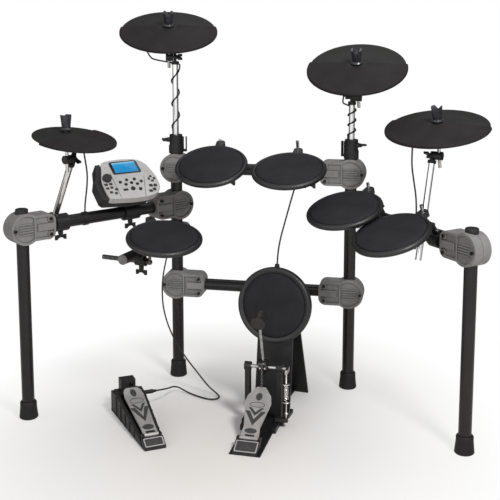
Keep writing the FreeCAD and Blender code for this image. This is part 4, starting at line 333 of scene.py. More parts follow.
CYMBAL_RUBBER = ringed_rubber("cymbal_rubber", "2a2728", "242122", pitch=2.0, depth=0.06,
                              rough=(0.6, 0.76))
CYMBAL_PLATE = ringed_rubber("cymbal_plate", "2c2c2c", "262625", pitch=3.0, depth=0.05, rough=(0.5, 0.66))
PEDAL_METAL = surface("pedal_metal", "201e1f", "181718", rough=(0.34, 0.5), grain=1.2, depth=0.04,
                      patch=40, specular=0.4, worn="454343")
# Its dark tone in creases is painted shade.
BOARD_METAL = surface("board_metal", "b2afad", "a6a3a1", rough=(0.34, 0.48), grain=1.1, depth=0.04,
                      patch=35, metallic=0.25, worn="c6c3c1", painted_shade=("5c5a59", 4))
# Its dark tone in creases is painted shade.
PEDAL_BLACK = surface("pedal_black", "1b191a", "141213", rough=(0.42, 0.6), grain=0.9, depth=0.06,
                      patch=35, specular=0.3, worn="2f2d2d", painted_shade=("0c0b0c", 8))
INLAY = surface("pedal_inlay", "454344", "3a3839", rough=(0.6, 0.78), grain=0.8, depth=0.08, patch=18,
                specular=0.25, worn="545252")
CABLE_SKIN = surface("cable_skin", "222121", "1a1919", rough=(0.42, 0.56), grain=1.0, depth=0.04,
                     patch=20, specular=0.4)
MODULE_SILVER = surface("module_silver", "c4c1c1", "b7b4b4", rough=(0.3, 0.44), grain=0.45, depth=0.02,
                        patch=60, metallic=0.25, worn="d2d0cf", coat=0.15)
MODULE_GREY = surface("module_grey", "262425", "1e1c1d", rough=(0.38, 0.52), grain=0.8, depth=0.05,
                      patch=30, specular=0.4, worn="3d3b3c")
MODULE_BEZEL = surface("module_bezel", "14151a", "0e0f13", rough=(0.16, 0.26), grain=1.6, depth=0.01,
                       patch=40, specular=0.5, coat=0.3)
MODULE_KEYS = surface("module_keys", "272527", "1e1d1f", rough=(0.45, 0.6), grain=0.7, depth=0.04,
                      patch=8, specular=0.35, worn="4c4a4c")
KNOB_GREY = surface("knob_grey", "363436", "2c2a2c", rough=(0.4, 0.55), grain=0.7, depth=0.05, patch=9,
                    specular=0.4, worn="565456")
DISPLAY = display_glass()

# Shape helpers. Meshes are made in millimetres about a place of their own.

# Sides of large and of small round pieces, and the angle from which an edge counts as sharp.
LARGE_ROUND, SMALL_ROUND = 128, 32
SHARP_ANGLE = math.radians(38)


def softened(points, closed=False, steps=5):
    """Points of an outline, each corner with a third value rounded off over that length."""
    result = []
    count = len(points)
    for i, point in enumerate(points):
        corner = Vector(point[:2])
        reach = point[2] if len(point) > 2 else 0
        if not reach or (not closed and i in (0, count - 1)):
            result.append(corner)
            continue
        before = Vector(points[i - 1][:2]) - corner
        after = Vector(points[(i + 1) % count][:2]) - corner
        first = corner + before.normalized() * min(reach, before.length * 0.49)
        last = corner + after.normalized() * min(reach, after.length * 0.49)
        for step in range(steps + 1):
            t = step / steps
            result.append(first * (1 - t) ** 2 + corner * (2 * t * (1 - t)) + last * t ** 2)
    return result


def lathe(mesh, profile, segments, sweep=360, start=0):
    """Turn a profile of radius and height about Z; a part turn is closed at both ends."""
    whole = sweep == 360
    count = segments if whole else segments + 1
    rings = []
    for radius, height in profile:
        if radius < 1e-6:
            rings.append([mesh.verts.new((0, 0, height))] * count)
            continue
        ring = []
        for i in range(count):
            angle = math.radians(start + sweep * i / segments)
            ring.append(mesh.verts.new((radius * math.cos(angle), radius * math.sin(angle), height)))
        rings.append(ring)
    pairs = list(zip(rings, rings[1:]))
    if not whole:
        pairs.append((rings[-1], rings[0]))
    for low, high in pairs:
        for i in range(segments):
            j = (i + 1) % count
            corners = [low[i], low[j], high[j], high[i]]
            mesh.faces.new([v for k, v in enumerate(corners) if v not in corners[:k]])
    if not whole:
        mesh.faces.new([ring[0] for ring in rings])
        mesh.faces.new([ring[-1] for ring in reversed(rings)])


def lathe_at(mesh, place, profile, segments):
    """Turn a profile about the Z of a place of its own."""
    older = set(mesh.verts)
    lathe(mesh, profile, segments)
    bmesh.ops.transform(mesh, matrix=place, verts=[vert for vert in mesh.verts if vert not in older])


def slab(mesh, outline, low, high, edge=0.0, steps=3):
    """A flat piece over an outline, with its upper rim rounded."""
    foot = [mesh.verts.new((x, y, low)) for x, y in outline]
    top = [mesh.verts.new((x, y, high)) for x, y in outline]
    count = len(outline)
    mesh.faces.new(list(reversed(foot)))
    lid = mesh.faces.new(top)
    for i in range(count):
        j = (i + 1) % count
        mesh.faces.new((foot[i], foot[j], top[j], top[i]))
    if edge:
        bmesh.ops.bevel(mesh, geom=list(lid.edges), offset=edge, offset_type="OFFSET", segments=steps,
                        profile=0.5, affect="EDGES", clamp_overlap=True)


def ring_slab(mesh, outer, inner, low, high):
    """A flat frame between two outlines with as many points."""
    loops = [[mesh.verts.new((x, y, z)) for x, y in outline] for outline, z in
             ((outer, low), (outer, high), (inner, high), (inner, low))]
    count = len(outer)
    for first, second in zip(loops, loops[1:] + loops[:1]):
        for i in range(count):
            j = (i + 1) % count
            mesh.faces.new((first[i], first[j], second[j], second[i]))


def oval(width, length, centre):
    """An oval about a point on the middle line."""
    angles = [2 * math.pi * i / SMALL_ROUND for i in range(SMALL_ROUND)]
    return [Vector((width * math.cos(angle) / 2, centre + length * math.sin(angle) / 2)) for angle in angles]


def tube_along(mesh, points, radius, closed=False):
    """A round bar that follows points in space."""
    sides = 8
    rings = []
    count = len(points)
    for i, point in enumerate(points):
        before = points[i - 1] if closed or i else point
        after = points[(i + 1) % count] if closed or i < count - 1 else point
        way = (after - before).normalized()
        side = way.orthogonal().normalized() if not rings else (side - way * side.dot(way)).normalized()
        other = way.cross(side)
        rings.append([mesh.verts.new(point + (side * math.cos(a) + other * math.sin(a)) * radius)
                      for a in (2 * math.pi * k / sides for k in range(sides))])
    pairs = list(zip(rings, rings[1:]))
    if closed:
        pairs.append((rings[-1], rings[0]))
    for first, second in pairs:
        for k in range(sides):
            j = (k + 1) % sides
            mesh.faces.new((first[k], first[j], second[j], second[k]))
    if not closed:
        mesh.faces.new(list(reversed(rings[0])))
        mesh.faces.new(rings[-1])


def piece(name, mesh, place, material, body, slot, *stands_for):
    """A finished mesh piece at its place, riding on a body."""
    bmesh.ops.recalc_face_normals(mesh, faces=mesh.faces)
    bmesh.ops.scale(mesh, vec=(MM, MM, MM), verts=mesh.verts)
    data = bpy.data.meshes.new(name)
    mesh.to_mesh(data)
    mesh.free()
    data.shade_smooth()
    data.set_sharp_from_angle(angle=SHARP_ANGLE)
    data.materials.append(material)
    thing = added(name, data)
    placed = place.copy()
    placed.translation = place.translation * MM
    thing.matrix_world = placed
    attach(thing, body)
    if stands_for:
        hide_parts(*stands_for)


def dress(node, material, rounding):
    """Finish a CAD node: its material and, where a rounding is given, its sharp edges."""
    thing = nodes[node]
    thing.data.materials.clear()
    thing.data.materials.append(material)
    if not rounding:
        return
    thing.data.shade_smooth()
    weld = thing.modifiers.new("weld", "WELD")
    weld.merge_threshold = 0.01 * MM
    bevel = thing.modifiers.new("rounding", "BEVEL")
    bevel.width = rounding * MM
    bevel.segments = 2
    bevel.limit_method = "ANGLE"
    bevel.angle_limit = SHARP_ANGLE
    normals = thing.modifiers.new("normals", "WEIGHTED_NORMAL")
    normals.keep_sharp = True


# Cymbal pads: how each leans, how far its hole lies behind its middle, and how its playing area is turned.

CYMBALS = {
    "crash_left": {"tilt": 22.2, "heading": 15, "hole": 0, "turned": 0},
    "crash_right": {"tilt": 26, "heading": -2, "hole": 0, "turned": 0},
    "ride": {"tilt": 13.9, "heading": -18, "hole": 0, "turned": 0},
    "hihat": {"tilt": 10.5, "heading": 62, "hole": 36, "turned": 8},
}
CYMBAL_RADIUS, HIHAT_RADIUS = 158, 128
CYMBAL_RISE, HIHAT_RISE = 16, 12
PLATE, RUBBER, RUBBER_GAP, OVERHANG, SKIRT, SWEEP = 3, 3.2, 0.2, 4, 6, 200
CUP, CYMBAL_HOLE, RUBBER_START = 24, 9, 30


def cymbal_size(name):
    """A cymbal's radius, and how far its cone rises."""
    return (HIHAT_RADIUS, HIHAT_RISE) if name == "hihat" else (CYMBAL_RADIUS, CYMBAL_RISE)


def cymbal_place(name):
    """The cymbal's own place, its rim plane at zero."""
    spot = CYMBALS[name]
    rise = cymbal_size(name)[1]
    lean = turn(spot["heading"], "Z") @ turn(spot["tilt"], "X")
    hole = lean @ Vector((0, spot["hole"], rise - PLATE / 2))
    return Matrix.Translation(HINGE[f"{name}_rock"] - hole) @ lean


def add_cymbal(name):
    """Cone plate with a small bell, and the rubber playing area laid over its front."""
    spot = CYMBALS[name]
    radius, rise = cymbal_size(name)
    edge = radius - OVERHANG
    heading = spot["heading"]
    place = cymbal_place(name) @ turn(-heading, "Z")
    plate = bmesh.new()
    bore = 0 if spot["hole"] else CYMBAL_HOLE
    outline = [(bore, rise - PLATE), (CUP, rise - PLATE, 12), (edge, -PLATE, 1), (edge, 0, 2),
               (CUP, rise, 12), (bore, rise)]
    if bore:
        outline.append(outline[0])
    lathe(plate, softened(outline), LARGE_ROUND)
    piece(f"{name}_plate", plate, place, CYMBAL_PLATE, f"{name}_pad", "cymbal_rubber", f"{name}_cymbal")
    rubber = bmesh.new()
    start = (edge - RUBBER_START) * rise / (edge - CUP)
    inner = edge + RUBBER_GAP
    face = [(RUBBER_START, start + RUBBER_GAP), (inner, RUBBER_GAP), (inner, -SKIRT), (radius, -SKIRT, 1),
            (radius, 0.6, 3), (radius - 4, RUBBER, 3), (RUBBER_START + 4, start + RUBBER - 0.4, 3)]
    first = heading + spot["turned"] - 90 - SWEEP / 2
    lathe(rubber, softened(face, True), LARGE_ROUND, SWEEP, first)
    piece(f"{name}_playing_area", rubber, place, CYMBAL_RUBBER, f"{name}_pad", "cymbal_rubber",
          f"{name}_cymbal")


for cymbal_name in CYMBALS:
    add_cymbal(cymbal_name)

# Drum pads: how far each sits above its hinge, and how it leans.

PADS = {
    "tom_one": {"drop": 55.9, "lean": ((-1.4, "Z"), (23.3, "X"))},
    "tom_two": {"drop": 67.3, "lean": ((-4.2, "Z"), (17.6, "X"))},
    "tom_three": {"drop": 39, "lean": ((-30, "Z"), (18, "X"))},
    "floor_tom": {"drop": 43.1, "lean": ((-43, "Z"), (20.3, "X"))},
    "snare": {"drop": 150, "lean": ((24.9, "Z"), (13, "X"), (10, "Z"))},
}
PAD_RADIUS, PAD_DEPTH, RIM_TOP = 115, 15, 6
HEAD_RADIUS, HEAD_RISE, HEAD_DOME, HEAD_GAP = 102, 9, 3, 0.4
ROD_BEHIND, LUG_WIDTH, LUG_START, LUG_END, LUG_TOP = 131, 28, 106, 145, 3


def pad_lean(name):
    """A pad's turns, one after another."""
    lean = Matrix.Identity(4)
    for degrees, axis in PADS[name]["lean"]:
        lean = lean @ turn(degrees, axis)
    return lean


def add_head(name, place, body, radius, node):
    """Raised rubber face with a rolled edge and a gentle crown."""
    head = bmesh.new()
    profile = [(0, 0), (radius, 0), (radius, HEAD_RISE - 3.5, 4), (radius - 9, HEAD_RISE + 0.6, 9),
               (radius * 0.6, HEAD_RISE + HEAD_DOME * 0.7, 30), (0, HEAD_RISE + HEAD_DOME)]
    lathe(head, softened(profile, steps=6), LARGE_ROUND)
    piece(name, head, place, PAD_RUBBER, body, "pad_rubber", node)


def add_pad(name):
    """Round shell with a rolled rim, a lug for the rod behind it, and the playing head."""
    lean = pad_lean(name)
    middle = lean @ Vector((0, -ROD_BEHIND, PADS[name]["drop"]))
    place = Matrix.Translation(HINGE[f"{name}_tilt"] + middle) @ lean
    shell = bmesh.new()
    rim = PAD_RADIUS
    profile = [(0, -PAD_DEPTH), (rim - 18, -PAD_DEPTH, 6), (rim - 4, -PAD_DEPTH + 3.5, 6),
               (rim, -PAD_DEPTH + 8.5, 4), (rim, RIM_TOP - 5, 6), (rim - 6.5, RIM_TOP, 6),
               (HEAD_RADIUS + 2 * HEAD_GAP, RIM_TOP - 2, 1.5), (HEAD_RADIUS + HEAD_GAP, 0), (0, 0)]
    lathe(shell, softened(profile, steps=6), LARGE_ROUND)
    half = LUG_WIDTH / 2
    lug = [(-half, LUG_START), (half, LUG_START), (half, LUG_END, 9), (-half, LUG_END, 9)]
    slab(shell, softened(lug, True), -PAD_DEPTH, LUG_TOP, edge=2)
    body = f"{name}_pad"
    piece(f"{name}_dish", shell, place, PAD_RIM, body, "pad_rim", f"{name}_shell")
    add_head(f"{name}_face", place, body, HEAD_RADIUS, f"{name}_head")


for pad_name in PADS:
    add_pad(pad_name)

# Kick pad.

KICK_PLACE = leaning(Vector((79, -18, 351)), -8, 82)
KICK_RADIUS, KICK_DEPTH, KICK_RIM, KICK_HEAD, JACK_RADIUS, JACK_END = 117, 27, 6, 99, 7, 126


def add_kick_pad():
    """Deep round shell with a groove around it, a jack on its top edge, and the playing head."""
    shell = bmesh.new()
    rim, back = KICK_RADIUS, -KICK_DEPTH
    profile = [(0, back), (rim - 10, back, 6), (rim - 1, back + 8, 5), (rim - 1, back + 13, 1),
               (rim - 4, back + 14.2, 0.6), (rim - 4, back + 15.8, 0.6), (rim, back + 17, 1.5),
               (rim, KICK_RIM - 4, 4), (rim - 6, KICK_RIM, 4), (rim - 11, KICK_RIM - 1, 3),
               (KICK_HEAD + 2 * HEAD_GAP, KICK_RIM - 3, 1), (KICK_HEAD + HEAD_GAP, 0), (0, 0)]
    lathe(shell, softened(profile, steps=6), LARGE_ROUND)
    spot = Matrix.Translation((0, rim - 8, -KICK_DEPTH / 2)) @ turn(-90, "X")
    jack = bmesh.new()
    collar = JACK_RADIUS + 1
    profile = [(0, 0), (collar, 0), (collar, 10, 1), (JACK_RADIUS, 11), (JACK_RADIUS, 17, 2), (0, 17)]
    lathe(jack, softened(profile), SMALL_ROUND)
    piece("kick_dish", shell, KICK_PLACE, PAD_RIM, "rack", "pad_rim", "kick_pad_shell")
    piece("kick_jack", jack, KICK_PLACE @ spot, BLACK_FITTING, "rack", "black_fitting", "kick_pad_shell")
    add_head("kick_face", KICK_PLACE, "rack", KICK_HEAD, "kick_pad_head")


add_kick_pad()

# Cables. Each route is a list of control points, wound turns included.

CABLE, HOLDER_TOP = 5, 835
# Turns around a post: their radius, the points in each, and the run from the last to the bend down.
WIND_RADIUS, WIND_STEPS, WIND_END = 12.6, 16, 10
# A cord's sleeve: its length, its radius at both ends, where the cord begins in it, and its gap to the plate.
SLEEVE, SLEEVE_TOP, SLEEVE_TIP, SLEEVE_PLAY, SLEEVE_GAP = 16, 4.6, 3.4, 7, 0.3


def under_cymbal(name, side, front):
    """A point just below a cymbal's plate, aside and in front of its tilter, and the way down from it."""
    place = cymbal_place(name)
    radius, rise = cymbal_size(name)
    normal = place.to_3x3() @ Z
    spot = HINGE[f"{name}_tilt"] + Vector((side, front, 0))
    offset = place.translation - spot
    local = place.inverted() @ (spot + Z * (normal.dot(offset) / normal.z))
    edge = radius - OVERHANG
    height = rise * (edge - math.hypot(local.x, local.y)) / (edge - CUP)
    return place @ Vector((local.x, local.y, height - PLATE - SLEEVE_GAP)), -normal


def cable_start(name, side, front, straight):
    """A sleeve under a cymbal's plate, and the first two points of the cord that hangs from it."""
    top, down = under_cymbal(name, side, front)
    sleeve = bmesh.new()
    profile = [(0, 0), (SLEEVE_TOP, 0), (SLEEVE_TOP, -6, 2), (SLEEVE_TIP, -SLEEVE, 1), (0, -SLEEVE)]
    lathe(sleeve, softened(profile), 24)
    place = cymbal_place(name)
    place.translation = top
    piece(f"{name}_sleeve", sleeve, place, CABLE_SKIN, f"{name}_pad", "cable_skin")
    return [top + down * SLEEVE_PLAY, top + down * straight]


def wound(name, lead, drop, pitch, turns, start):
    """A lead to a post, turns around it from so many degrees past its front, and a tail into its holder."""
    tilter = HINGE[f"{name}_tilt"]
    count = round(WIND_STEPS * turns)
    coil = []
    for step in range(count + 1):
        angle = math.radians(start) + 2 * math.pi * turns * step / count
        coil.append(tilter + Vector((-WIND_RADIUS * math.sin(angle), -WIND_RADIUS * math.cos(angle),
                                     -drop - pitch * turns * step / count)))

    def way(degrees):
        """The way the cord runs at an angle of its turns."""
        angle = math.radians(degrees)
        side, front = -WIND_RADIUS * math.cos(angle), WIND_RADIUS * math.sin(angle)
        return Vector((side, front, -pitch / (2 * math.pi))).normalized()

    last_way = way(start + 360 * turns)
    knee = coil[-1] + last_way * (WIND_END / math.hypot(last_way.x, last_way.y))
    hung = [tilter + Vector(spot) for spot in lead]
    tail = [knee, Vector((knee.x, knee.y, HOLDER_TOP))]
    return hung + [coil[0] - way(start) * (2 * WIND_RADIUS)] + coil + tail


def add_cable(name, points, node):
    """A round cord along control points."""
    data = bpy.data.curves.new(name, "CURVE")
    data.dimensions = "3D"
    data.bevel_depth = CABLE / 2 * MM
    data.bevel_resolution = 4
    data.resolution_u = 8
    data.use_fill_caps = True
    spline = data.splines.new("NURBS")
    spline.points.add(len(points) - 1)
    for control, point in zip(spline.points, points):
        control.co = (*(point * MM), 1)
    spline.order_u = 3
    spline.use_endpoint_u = True
    data.materials.append(CABLE_SKIN)
    cable = added(name, data)
    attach(cable, "rack")
    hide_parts(node)


HIHAT_HEADING = 33
PEDAL_PLACE = Matrix.Translation((-212, -333, 0)) @ turn(HIHAT_HEADING, "Z")
PLUG_END = Vector((92, 296, 52))


def laid(route):
    return [on_floor(*spot) for spot in route]


def add_crash_cables():
    """Cords of the crash cymbals, each wound around its post."""
    start = cable_start("crash_left", side=-93, front=-62, straight=20)
    lead = ((-78, -34, -2), (-58, 2, -12), (-32, 28, -19), (-4, 38, -24))
    coil = wound("crash_left", lead, drop=44, pitch=75.2, turns=2.5, start=270)
    add_cable("crash_left_cable", start + coil, "crash_cables")
    start = cable_start("crash_right", side=-24, front=46, straight=24)
    lead = ((-27, 44, 30), (-31, 36, 0), (-33, 24, -22))
    coil = wound("crash_right", lead, drop=34, pitch=32, turns=2.75, start=180)
    add_cable("crash_right_cable", start + coil, "crash_cables")


def add_hanging_cables():
    """Cords of the kick pad, the ride and the hi-hat."""
    jack_end = KICK_PLACE @ Vector((0, JACK_END, -KICK_DEPTH / 2))
    jack_way = KICK_PLACE.to_3x3() @ Y
    points = laid([(140, -27.3, 722), (139, -56, 724), (137, -104, 722), (132, -154, 704), (122, -190, 656),
                   (110, -214, 602)])
    points += [jack_end + jack_way * 84 + Vector((8, -8, 0)), jack_end + jack_way * 34, jack_end]
    add_cable("kick_lead", points, "kick_cable")
    points = cable_start("ride", side=-61, front=-74, straight=34)
    points += laid([(491, -236, 800), (499, -242, 752), (507, -247, 706), (509, -248, 664),
                    (508.5, -243, 644), (509, -243, 627.3)])
    add_cable("ride_lead", points, "ride_cable")
    points = cable_start("hihat", side=46, front=-25, straight=26)
    points += laid([(-474, -364, 800), (-482, -332, 766), (-496, -292, 738), (-508, -264, 702),
                    (-514, -264, 660), (-515.5, -267, 640), (-516, -267, 621.8)])
    add_cable("hihat_lead", points, "hihat_cable")


def add_pedal_cable():
    """Cord from under the snare down to the floor and into the hi-hat pedal's plug."""
    plug_way = PEDAL_PLACE.to_3x3() @ X
    plug_end = PEDAL_PLACE @ PLUG_END
    points = laid([(-309, -62, 452.7), (-309, -62, 437), (-311, -80, 412), (-311, -110, 378),
                   (-308, -132, 336), (-302, -144, 286), (-288, -145, 230), (-263, -143, 172),
                   (-229, -142, 118), (-190, -141, 70), (-152, -144, 24), (-118, -156, 5.5),
                   (-104, -180, 3.5), (-126, -202, 3.5), (-172, -186, 3.5), (-220, -158, 4.5),
                   (-262, -142, 18)])
    points += [plug_end + plug_way * 34, plug_end]
    add_cable("hihat_pedal_lead", points, "hihat_pedal_cable")


add_crash_cables()
add_hanging_cables()
add_pedal_cable()

# Sound module.

MODULE_PLACE = leaning(Vector((-411, 80, 715)), 44, 38)
MODULE_WIDTH, MODULE_LENGTH, MODULE_SHELL = 198, 170, 22
# Corners of the cover as shares of its width and length, each with the reach of its rounding.
MODULE_PLAN = ((-0.46, -0.47, 14), (0, -0.52, 60), (0.31, -0.49, 25), (0.46, -0.36, 22), (0.49, -0.07, 25),
               (0.40, 0.33, 25), (0.25, 0.45, 20), (-0.08, 0.48, 50), (-0.36, 0.44, 16), (-0.42, 0.18, 30),
               (-0.50, -0.03, 20), (-0.50, -0.40, 14))
# Corners of the display's bezel and of its pane, rounded likewise.
BEZEL = ((-47, 17, 7), (53, 17, 7), (51, 71, 9), (-47, 71, 9))
PANE = ((-38, 22, 2), (44, 22, 2), (43, 66, 2), (-38, 66, 2))
# Both ends of each seam in the cover, and half its width.
SEAMS = (((-56.5, -79), (-56, 27)), ((27, -84), (53.5, 0)))
SEAM_HALF = 0.7
DIAL_AT = (-76.5, 1.5, 0)
DIAL_RADIUS, DIAL_LOW, DIAL_HIGH, FLUTES, FLUTE_DEPTH, FLUTE_STEPS = 14.1, 0.6, 11.3, 18, 0.4, 8


def add_module_part(name, mesh, material, slot, *stands_for):
    """A piece on the module's own place."""
    piece(name, mesh, MODULE_PLACE, material, "module", slot, *stands_for)


def add_module():
    """Cover with its seams, the display in its bezel, and the fluted dial."""
    cover = bmesh.new()
    plan = [(x * MODULE_WIDTH, y * MODULE_LENGTH, reach) for x, y, reach in MODULE_PLAN]
    slab(cover, softened(plan, True), -MODULE_SHELL, 0, edge=6, steps=5)
    add_module_part("module_cover", cover, MODULE_SILVER, "module_silver", "module_top")
    seams = bmesh.new()
    for foot, top in SEAMS:
        foot, top = Vector(foot), Vector(top)
        side = (top - foot).normalized().orthogonal() * SEAM_HALF
        slab(seams, [foot - side, foot + side, top + side, top - side], -0.6, 0.25)
    add_module_part("module_seams", seams, MODULE_GREY, "module_grey")
    bezel = bmesh.new()
    slab(bezel, softened(BEZEL, True), -2, 1.0, edge=0.8)
    add_module_part("module_bezel", bezel, MODULE_BEZEL, "module_display", "module_screen")
    pane = bmesh.new()
    slab(pane, softened(PANE, True), 0.4, 1.5, edge=0.3)
    add_module_part("module_pane", pane, DISPLAY, "module_display", "module_screen")
    dial = bmesh.new()
    flutes = []
    for i in range(FLUTES * FLUTE_STEPS):
        angle = 2 * math.pi * i / (FLUTES * FLUTE_STEPS)
        radius = DIAL_RADIUS + FLUTE_DEPTH * math.cos(FLUTES * angle)
        flutes.append(Vector((radius * math.cos(angle), radius * math.sin(angle))))
    slab(dial, flutes, DIAL_LOW, DIAL_HIGH, edge=1.6)
    dial_place = MODULE_PLACE @ Matrix.Translation(DIAL_AT)
    piece("module_dial", dial, dial_place, KNOB_GREY, "module_knob", "knob_grey", "module_knob")


add_module()

# Pedals.

KICK_AT, KICK_HEADING = Vector((59.5, -84, 0)), -3
KICK_PEDAL = Matrix.Translation(KICK_AT) @ turn(KICK_HEADING, "Z")
KICK_BOARD = leaning(HINGE["kick_footboard"], KICK_HEADING, 29.4)
HIHAT_BOARD = leaning(HINGE["hihat_footboard"], HIHAT_HEADING, 15)
AXLE_HEIGHT, BEATER_LEAN = 176, 20
# Inlays lie from a little below the top of a footboard to a little above it.
BOARD_TOP = 3.5
INLAY_LOW, INLAY_HIGH, INLAY_EDGE = BOARD_TOP - 0.5, BOARD_TOP + 0.7, 0.25


def inlay(mesh, outline):
    """One flat inlay in a footboard's top."""
    slab(mesh, outline, INLAY_LOW, INLAY_HIGH, INLAY_EDGE, steps=1)


def chevron(mesh, half, top, point, width):
    """A V that opens toward the toe."""
    arm, drop = width * 1.1, width * 1.6
    outline = [(-half, top), (-half + arm, top), (0, point + drop), (half - arm, top), (half, top),
               (0, point)]
    inlay(mesh, softened([(x, y, 1.2) for x, y in outline], True, 2))


def add_board_inlays(name, place, body, stretch, width):
    """Dark inlays of a footboard: ovals, two chevrons, the rim of a bare lens and a slot at the heel."""
    inlays = bmesh.new()
    inlay(inlays, oval(18 * width, 38 * stretch, 199 * stretch))
    inlay(inlays, oval(34 * width, 24 * stretch, 32 * stretch))
    lens = 159 * stretch
    ring_slab(inlays, oval(43 * width, 26 * stretch, lens), oval(40 * width, 22 * stretch, lens), INLAY_LOW,
              INLAY_HIGH)
    chevron(inlays, 22 * width, 144 * stretch, 104 * stretch, 8)
    chevron(inlays, 29 * width, 127 * stretch, 58 * stretch, 13)
    piece(name, inlays, place, INLAY, body, "pedal_black")
    slot = bmesh.new()
    far = 14 * stretch
    inlay(slot, softened([(-14, 2, 2), (14, 2, 2), (14, far, 2), (-14, far, 2)], True))
    piece(f"{name}_slot", slot, place, SOFT_BLACK, body, "pedal_black")


def add_heel(name, place, width, front, back, low, high):
    """Light frame with a dark inlay on a heel's sloping top."""
    rise = math.degrees(math.atan2(high - low, back - front))
    length = math.hypot(high - low, back - front)
    half = width / 2
    heel_place = place @ Matrix.Translation((0, front, low)) @ turn(rise, "X")
    rim = bmesh.new()
    outer = softened([(-half, 2, 4), (half, 2, 4), (half, length, 4), (-half, length, 4)], True)
    side, end = half - 3, length - 3
    inner = softened([(-side, 5, 3), (side, 5, 3), (side, end, 3), (-side, end, 3)], True)
    ring_slab(rim, outer, inner, -0.4, 0.9)
    piece(f"{name}_frame", rim, heel_place, BOARD_METAL, "rack", "board_metal")
    mat = bmesh.new()
    slab(mat, inner, -0.4, 0.6, edge=0.3, steps=2)
    piece(f"{name}_mat", mat, heel_place, INLAY, "rack", "pedal_black")


LINKS, LINK_WIDTH, LINK_WIRE, LINK_OVERLAP, LINK_STEPS, CHAIN_FRONT = 9, 5, 0.9, 1.3, 16, -27


def link_points(centre, length, turned):
    """The middle line of one chain link standing on Z."""
    points = []
    for i in range(LINK_STEPS):
        angle = 2 * math.pi * i / LINK_STEPS
        rise = (length - LINK_WIDTH) / 2 * (1 if math.sin(angle) >= 0 else -1)
        across = LINK_WIDTH / 2 * math.cos(angle)
        side = Vector((across, 0, 0)) if turned else Vector((0, across, 0))
        points.append(centre + side + Z * (rise + LINK_WIDTH / 2 * math.sin(angle)))
    return points


def add_chain():
    """Links from the footboard's toe up to the sprocket, every other one turned."""
    low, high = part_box("kick_chain")
    foot, top = low.z / MM, high.z / MM
    step = (top - foot) / LINKS
    chain = bmesh.new()
    for i in range(LINKS):
        centre = Vector((0, CHAIN_FRONT, foot + (i + 0.5) * step))
        tube_along(chain, link_points(centre, step * LINK_OVERLAP, i % 2), LINK_WIRE, True)
    piece("kick_chain_links", chain, KICK_PEDAL, STEEL, "rack", "steel", "kick_chain")


# The spring's place on the kick pedal, its coil, and the pieces that hold it.
SPRING_SIDE, SPRING_FRONT, SPRING_TOP, SPRING_FOOT = 75.5, -26, 130, 30
SPRING_RADIUS, SPRING_WIRE, SPRING_PITCH, SPRING_TURNS, SPRING_STEPS = 6.6, 1.2, 4.6, 9, 20
SPRING_LEG, SPRING_ROD, SPRING_DISC, SPRING_NUT, LEVER_BELOW = 6, 2.2, 10.5, 6, 8


def add_spring():
    """Coil with a hook rod above and a threaded stay below."""
    wire = bmesh.new()
    points = []
    for i in range(SPRING_TURNS * SPRING_STEPS + 1):
        angle = 2 * math.pi * i / SPRING_STEPS
        points.append(Vector((SPRING_RADIUS * math.sin(angle), -SPRING_RADIUS * math.cos(angle),
                              -SPRING_PITCH * i / SPRING_STEPS)))
    points = [points[0] + Vector((-SPRING_LEG, 0, SPRING_LEG))] + points
    points += [points[-1] + Vector((SPRING_LEG, 0, -SPRING_LEG))]
    tube_along(wire, points, SPRING_WIRE)
    place = KICK_PEDAL @ Matrix.Translation((SPRING_SIDE, SPRING_FRONT, SPRING_TOP))
    piece("kick_spring_coil", wire, place, CHROME, "rack", "chrome", "kick_spring")
    fixings = bmesh.new()
    low, high = SPRING_LEG, AXLE_HEIGHT - LEVER_BELOW - SPRING_TOP
    hook = [(0, low), (SPRING_DISC, low, 1), (SPRING_DISC, low + 3, 1), (4, low + 4.5, 2),
            (SPRING_ROD, low + 7), (SPRING_ROD, high), (0, high)]
    lathe(fixings, softened(hook), SMALL_ROUND)
    low, high = SPRING_FOOT - SPRING_TOP, -SPRING_PITCH * SPRING_TURNS - SPRING_LEG
    stay = [(0, low), (SPRING_ROD, low), (SPRING_ROD, low + 12), (SPRING_NUT, low + 12, 1),
            (SPRING_NUT, low + 19, 1), (SPRING_ROD, low + 19), (SPRING_ROD, high - 7), (4, high - 4.5, 2),
            (SPRING_DISC, high - 3, 1), (SPRING_DISC, high, 1), (0, high)]
    lathe(fixings, softened(stay), SMALL_ROUND)
    piece("kick_spring_fixings", fixings, place, CHROME, "rack", "chrome", "kick_spring")


RIBS, RIB_START, RIB_STEP, RIB_DEEP, RIB_WIDE, RIB_FOOT, RIB_TOP = 5, 96, 42, 3, 5, 4, 64
# The hi-hat pedal's base: half its width at the heel and what that gains over its length.
BASE_HALF, BASE_GAIN, BASE_LENGTH = 32, 18, 330
# Its flank: the height and place at which it starts to rise, what it gains, and over which length.
FLANK_LOW, FLANK_START, FLANK_GAIN, FLANK_LENGTH = 16, 66, 46, 194


def add_pedal_ribs():
    """Upright ribs on both flanks of the hi-hat pedal's base, taller toward its back."""
    ribs = bmesh.new()
    for side in (-1, 1):
        for i in range(RIBS):
            along = RIB_START + RIB_STEP * i
            wall = side * (BASE_HALF + BASE_GAIN * along / BASE_LENGTH)
            top = FLANK_LOW + FLANK_GAIN * (along - FLANK_START) / FLANK_LENGTH
            corners = ((-1, -1), (1, -1), (1, 1), (-1, 1))
            outline = [(wall + RIB_DEEP * x, along + RIB_WIDE * y, 2.5) for x, y in corners]
            slab(ribs, softened(outline, True, 3), RIB_FOOT, min(top, RIB_TOP), edge=1.5, steps=2)
    piece("hihat_pedal_ribs", ribs, PEDAL_PLACE, PEDAL_BLACK, "rack", "pedal_black")


HUB_BOLTS = ((-7, -15, 8), (7, -15, 8))


